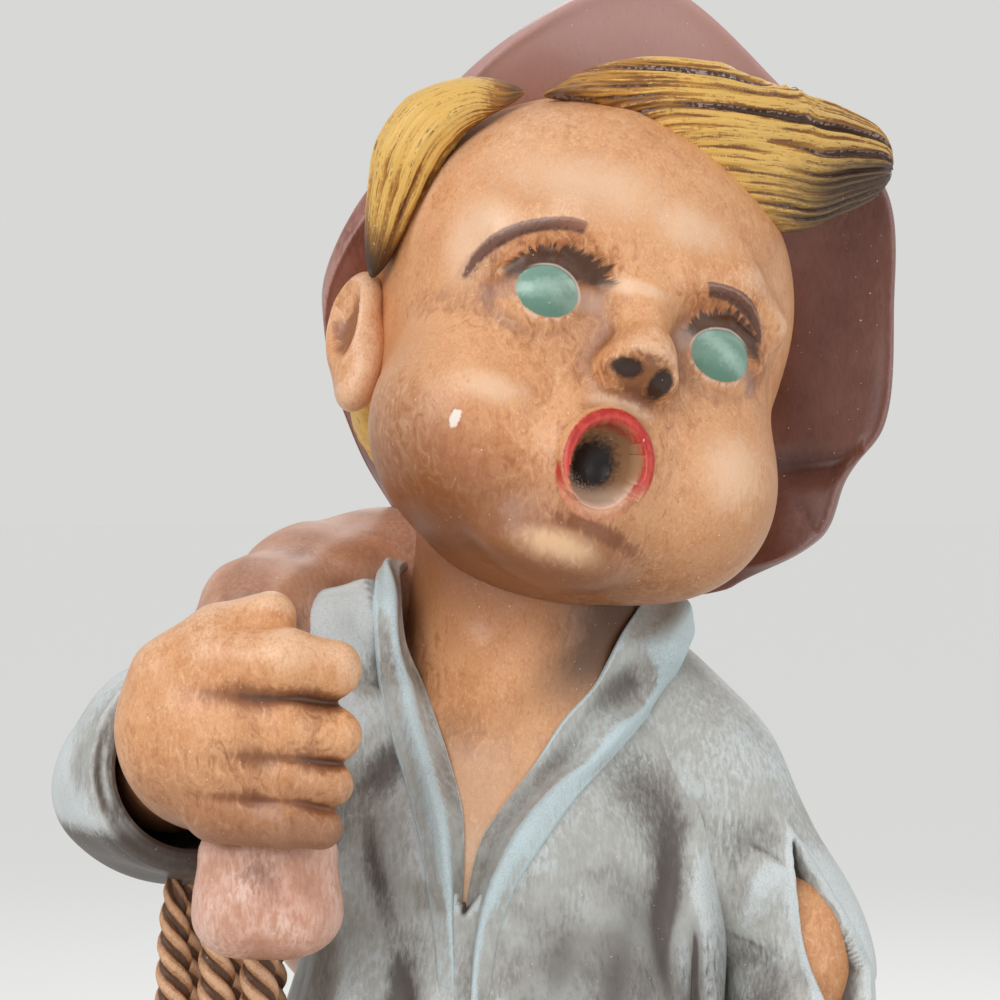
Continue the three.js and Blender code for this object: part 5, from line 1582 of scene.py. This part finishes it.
class FIGURINE_OT_legs(bpy.types.Operator):
    """Models the creased trousers, the bare shins and the boots"""
    bl_idname = "figurine.legs"
    bl_label = "Legs"

    def execute(self, context):
        settings = context.scene.figurine
        colours = settings.colours
        depth = settings.sizes.fold_depth / MM
        cloth = plain_paint("painted_trousers", (colours.trousers, tone("1f1d26"), tone("8a93a4")), 0.45,
                            ridge=(0.1, 0.6), recess=(0.0, -0.5))
        leather = plain_paint("painted_boots", (colours.boots, tone("1e0f08"), tone("9a6a4a")), 0.36,
                              ridge=(0.15, 0.7), recess=(0.0, -0.4), patches=0.3)
        skin = skin_paint("painted_shins", colours)
        hips = dress("trousers", self.hips(depth), "trousers", cloth)
        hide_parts("trousers")
        for side, name in ((1, "left"), (-1, "right")):
            leg = dress(f"{name}_trouser_leg", self.leg(side, depth), "trousers", cloth)
            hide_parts("trousers")
            foot = BASE_HEIGHT + BOOT_HEIGHT
            shin = round_bar(curve(ankle(side, foot - 9), ankle(side, 70), ankle(side, CUFF_HEIGHT + 14)),
                             lambda t: SHIN_RADIUS + 0.8 * np.sin(3 * t), LEFT, 8, 90, 70)
            piece = dress(f"{name}_shin", pushed(shin, 0.2 * rough(shin, 8, 40)), "skin", skin)
            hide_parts(f"{name}_shin")
            piece = dress(f"{name}_boot", self.boot(side), "boots", leather)
            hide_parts(f"{name}_boot")
        return {"FINISHED"}

    @staticmethod
    def trouser_field(p):
        parts = [egg((0, 0, HIP_HEIGHT), (41, 34, 34))]
        for side in (1, -1):
            parts.append(rod(hip(side), knee(side), THIGH_RADIUS, KNEE_RADIUS))
            parts.append(rod(knee(side), ankle(side, CUFF_HEIGHT), KNEE_RADIUS, CUFF_RADIUS))
        return blend(10, *parts)(p)

    def hips(self, depth):
        """The seat, which sinks under the legs below the crotch."""
        def field(p):
            return self.trouser_field(p) + 3 * step(p[..., 2], 152, 138)

        points = around_point(field, (0, 0, HIP_HEIGHT - 4), columns=160, rows=120)
        around = np.arctan2(points[..., 0], -points[..., 1])
        amount = 0.35 * depth * np.sin(9 * around + points[..., 2] / 9) * bump(points[..., 2] - 160, 18)
        for side in (1, -1):
            crease = curve((side * 8, -30, 158), (side * 20, -31, 166), (side * 34, -24, 176))
            amount += fold(points, crease, -0.7 * depth, 2.6)
        return pushed(points, amount + 0.5 * rough(points, 12, 41))

    def leg(self, side, depth):
        """One leg, which sinks under the seat at its top and ends in a turned hem."""
        def field(p):
            under_seat = 3 * step(p[..., 2], 150, 166)
            body = self.trouser_field(p) + under_seat + 40 * step(-side * p[..., 0], 0.5, 3)
            return smooth_max(body, CUFF_HEIGHT - p[..., 2], 2.5)

        path = curve(ankle(side, CUFF_HEIGHT + 12), knee(side), hip(side))
        points = along_path(field, path, columns=130, rows=140)
        z = points[..., 2]
        around = np.arctan2(points[..., 0] - side * STANCE, -points[..., 1])
        at_knee = bump(z - KNEE_HEIGHT, 11) * (0.6 - 0.4 * np.cos(around))
        amount = 0.4 * depth * np.sin(z / 2.6 + 1.6 * np.cos(around)) * at_knee
        amount += 0.4 * depth * np.sin(3 * around + z / 14 + side) * bump(z - 122, 30)
        amount += 0.9 * bump(z - (CUFF_HEIGHT + 3), 3) - 0.9 * bump(z - (CUFF_HEIGHT + 9), 1.2)
        return pushed(points, amount + 0.4 * rough(points, 10, 42 + side))

    @staticmethod
    def boot(side):
        """A stout ankle boot: the shaft, a full toe and a sole that stands proud, with laced eyelets."""
        floor = BASE_HEIGHT + 0.3
        turn = math.radians(TOE_OUT) * side
        ahead = np.array([math.sin(turn), -math.cos(turn), 0])
        across = np.array([math.cos(turn), math.sin(turn), 0])
        heel = ankle(side, floor + BOOT_RADIUS - 3)
        toe = heel + ahead * (BOOT_LENGTH - 2 * BOOT_RADIUS) - (0, 0, 1)
        upper = blend(8, rod(heel, toe, BOOT_RADIUS, BOOT_RADIUS - 1),
                      rod(heel, ankle(side, floor + BOOT_HEIGHT), BOOT_RADIUS, BOOT_RADIUS))

        def field(p):
            welt = upper(p) - 1.6 * bump(p[..., 2] - floor, 4.5)
            return smooth_max(welt, floor - p[..., 2], 1.2)

        path = curve(heel - ahead * 2, 0.5 * (heel + toe) + (0, 0, 1), toe)
        points = along_path(field, path, side=UP, caps=(0.35, 0.3), columns=130, rows=120)
        q = points - heel
        forward, sideways, height = q @ ahead, q @ across, points[..., 2] - floor
        amount = -0.8 * bump(height - 5.5, 0.8) + 0.5 * bump(forward - 24, 1.2) * step(height, 6, 9)
        tongue = step(forward, -2, 6) * step(height, 14, 18)
        amount += 0.9 * bump(np.abs(sideways) - 6, 1.2) * tongue
        laces = bump((height - 2 * sideways * np.sign(forward)) % 5 - 2.5, 0.8) * bump(sideways, 5)
        amount += 0.8 * laces * tongue
        amount += 0.3 * rough(points, 7, 50 + side)
        return pushed(points, amount * step(height, 0.5, 2))


class FIGURINE_OT_base(bpy.types.Operator):
    """Models the mossy mound that the boy stands on"""
    bl_idname = "figurine.base"
    bl_label = "Base"

    def execute(self, context):
        colours = context.scene.figurine.colours
        material = plain_paint("painted_mound", (colours.mound, tone("2c2617"), tone("a7a37c")), 0.55,
                               ridge=(0.1, 0.7), recess=(0.0, -0.5), stretch=(1, 1, 1))
        points = self.mound()
        piece = dress("base", points, "mound", material)
        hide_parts("base")
        return {"FINISHED"}

    @staticmethod
    def mound():
        """A flat-footed oval whose side bellies out and rolls over to an uneven top."""
        def field(p):
            q = p * (1, BASE_HALF_LENGTH / BASE_HALF_DEPTH, 1)
            out = np.hypot(q[..., 0], q[..., 1]) - (BASE_HALF_LENGTH - BASE_EDGE)
            over = np.abs(q[..., 2] - 6) - 6
            within = np.minimum(np.maximum(out, over), 0)
            slab = np.hypot(np.maximum(out, 0), np.maximum(over, 0)) + within - BASE_EDGE
            return smooth_max(slab, -q[..., 2], 0.6)

        points = around_point(field, (0, 0, 11), columns=260, rows=140)
        z = points[..., 2]
        clumps = np.abs(rough(points, 7, 60)) * 1.6 - 0.8 + 0.5 * rough(points, 3, 61)
        side = step(z, 1.5, 5)
        top = step(z, BASE_HEIGHT - 3, BASE_HEIGHT - 0.5)
        under_feet = np.minimum(np.hypot(points[..., 0] - STANCE, points[..., 1] + 12),
                                np.hypot(points[..., 0] + STANCE, points[..., 1] + 12))
        amount = (1.2 * clumps - 0.9) * side * (1 - 0.6 * top)
        return pushed(points, amount * (1 - 0.8 * top * (1 - step(under_feet, 20, 32))))


class FIGURINE_OT_stage(bpy.types.Operator):
    """Sets the pale floor, the soft lamps and the camera"""
    bl_idname = "figurine.stage"
    bl_label = "Stage"

    def execute(self, context):
        stage = context.scene.figurine.stage
        self.floor(stage)
        self.lamp("key", (-0.75, -1.15, 1.05), 1.1, stage.key_light)
        self.lamp("fill", (1.2, -0.9, 0.5), 1.2, stage.fill_light)
        self.lamp("back", (0.3, 1.3, 1.2), 1.2, stage.back_light)
        self.sky(context.scene, stage)
        camera = bpy.data.objects.new("camera", bpy.data.cameras.new("camera"))
        camera.data.sensor_width = SENSOR_WIDTH
        camera.data.lens = CAMERA_LENS
        camera.location = CAMERA_PLACE
        camera.rotation_euler = (math.pi / 2, 0, 0)
        context.scene.collection.objects.link(camera)
        context.scene.camera = camera
        context.scene.view_settings.view_transform = "Standard"
        return {"FINISHED"}

    @staticmethod
    def floor(stage):
        """A flat disc just under the mound's foot."""
        corners = 96
        turn = np.linspace(0, 2 * math.pi, corners, endpoint=False)
        rim = np.stack([np.cos(turn), np.sin(turn), 0 * turn], -1) * stage.floor_radius
        mesh = bpy.data.meshes.new("floor")
        mesh.from_pydata(rim.tolist(), [], [list(range(corners))])
        floor = bpy.data.objects.new("floor", mesh)
        bpy.context.scene.collection.objects.link(floor)
        paint = Paint("plain_floor")
        seen = Number(paint, paint.node("ShaderNodeLightPath").outputs["Is Camera Ray"])
        paint.join(paint.shader.inputs["Emission Color"], stage.floor)
        paint.join(paint.shader.inputs["Emission Strength"], 0.3 * seen)
        floor.data.materials.append(paint.finish(stage.floor, 0.9, shine=0.1))

    @staticmethod
    def lamp(name, place, width, power):
        data = bpy.data.lights.new(name, "AREA")
        data.size = width
        data.energy = power
        lamp = bpy.data.objects.new(name, data)
        lamp.location = place
        aim = np.array(LAMP_AIM) - place
        tilt = math.atan2(math.hypot(aim[0], aim[1]), -aim[2])
        lamp.rotation_euler = (tilt, 0, math.atan2(aim[0], -aim[1]) + math.pi)
        bpy.context.scene.collection.objects.link(lamp)

    @staticmethod
    def sky(scene, stage):
        """An even pale light, which the camera sees as a plain pale ground."""
        scene.world = bpy.data.worlds.new("daylight")
        scene.world.use_nodes = True
        tree = scene.world.node_tree
        tree.nodes.clear()
        output = tree.nodes.new("ShaderNodeOutputWorld")
        light = tree.nodes.new("ShaderNodeBackground")
        light.inputs["Color"].default_value = (1, 1, 1, 1)
        light.inputs["Strength"].default_value = stage.daylight
        seen = tree.nodes.new("ShaderNodeBackground")
        seen.inputs["Color"].default_value = (*tone("d8d8d6"), 1)
        path = tree.nodes.new("ShaderNodeLightPath")
        mix = tree.nodes.new("ShaderNodeMixShader")
        tree.links.new(path.outputs["Is Camera Ray"], mix.inputs[0])
        tree.links.new(light.outputs[0], mix.inputs[1])
        tree.links.new(seen.outputs[0], mix.inputs[2])
        tree.links.new(mix.outputs[0], output.inputs["Surface"])


class FigurineSettings(bpy.types.PropertyGroup):
    """What a user would change on the figurine."""
    sizes: PointerProperty(type=ModellingSizes)
    colours: PointerProperty(type=PaintColours)
    stage: PointerProperty(type=StageSettings)


MAKERS = (FIGURINE_OT_head, FIGURINE_OT_ears, FIGURINE_OT_hair, FIGURINE_OT_hat, FIGURINE_OT_shirt,
          FIGURINE_OT_chest, FIGURINE_OT_sleeves, FIGURINE_OT_hands, FIGURINE_OT_sack, FIGURINE_OT_rope,
          FIGURINE_OT_legs, FIGURINE_OT_base, FIGURINE_OT_stage)


class FIGURINE_PT_panel(bpy.types.Panel):
    """Lists the makers and the settings"""
    bl_label = "Ceramic Figurine"
    bl_idname = "FIGURINE_PT_panel"
    bl_space_type = "VIEW_3D"
    bl_region_type = "UI"
    bl_category = "Figurine"

    def draw(self, context):
        for maker in MAKERS:
            self.layout.operator(maker.bl_idname)
        for group in ("sizes", "colours", "stage"):
            settings = getattr(context.scene.figurine, group)
            box = self.layout.box()
            for name in settings.bl_rna.properties.keys()[2:]:
                box.prop(settings, name)


CLASSES = (ModellingSizes, PaintColours, StageSettings, FigurineSettings, *MAKERS, FIGURINE_PT_panel)


def register():
    for item in CLASSES:
        bpy.utils.register_class(item)
    bpy.types.Scene.figurine = PointerProperty(type=FigurineSettings)


def unregister():
    del bpy.types.Scene.figurine
    for item in reversed(CLASSES):
        bpy.utils.unregister_class(item)


def main():
    register()
    for maker in MAKERS:
        getattr(bpy.ops.figurine, maker.bl_idname.split(".")[1])()


if __name__ == "__main__":
    main()
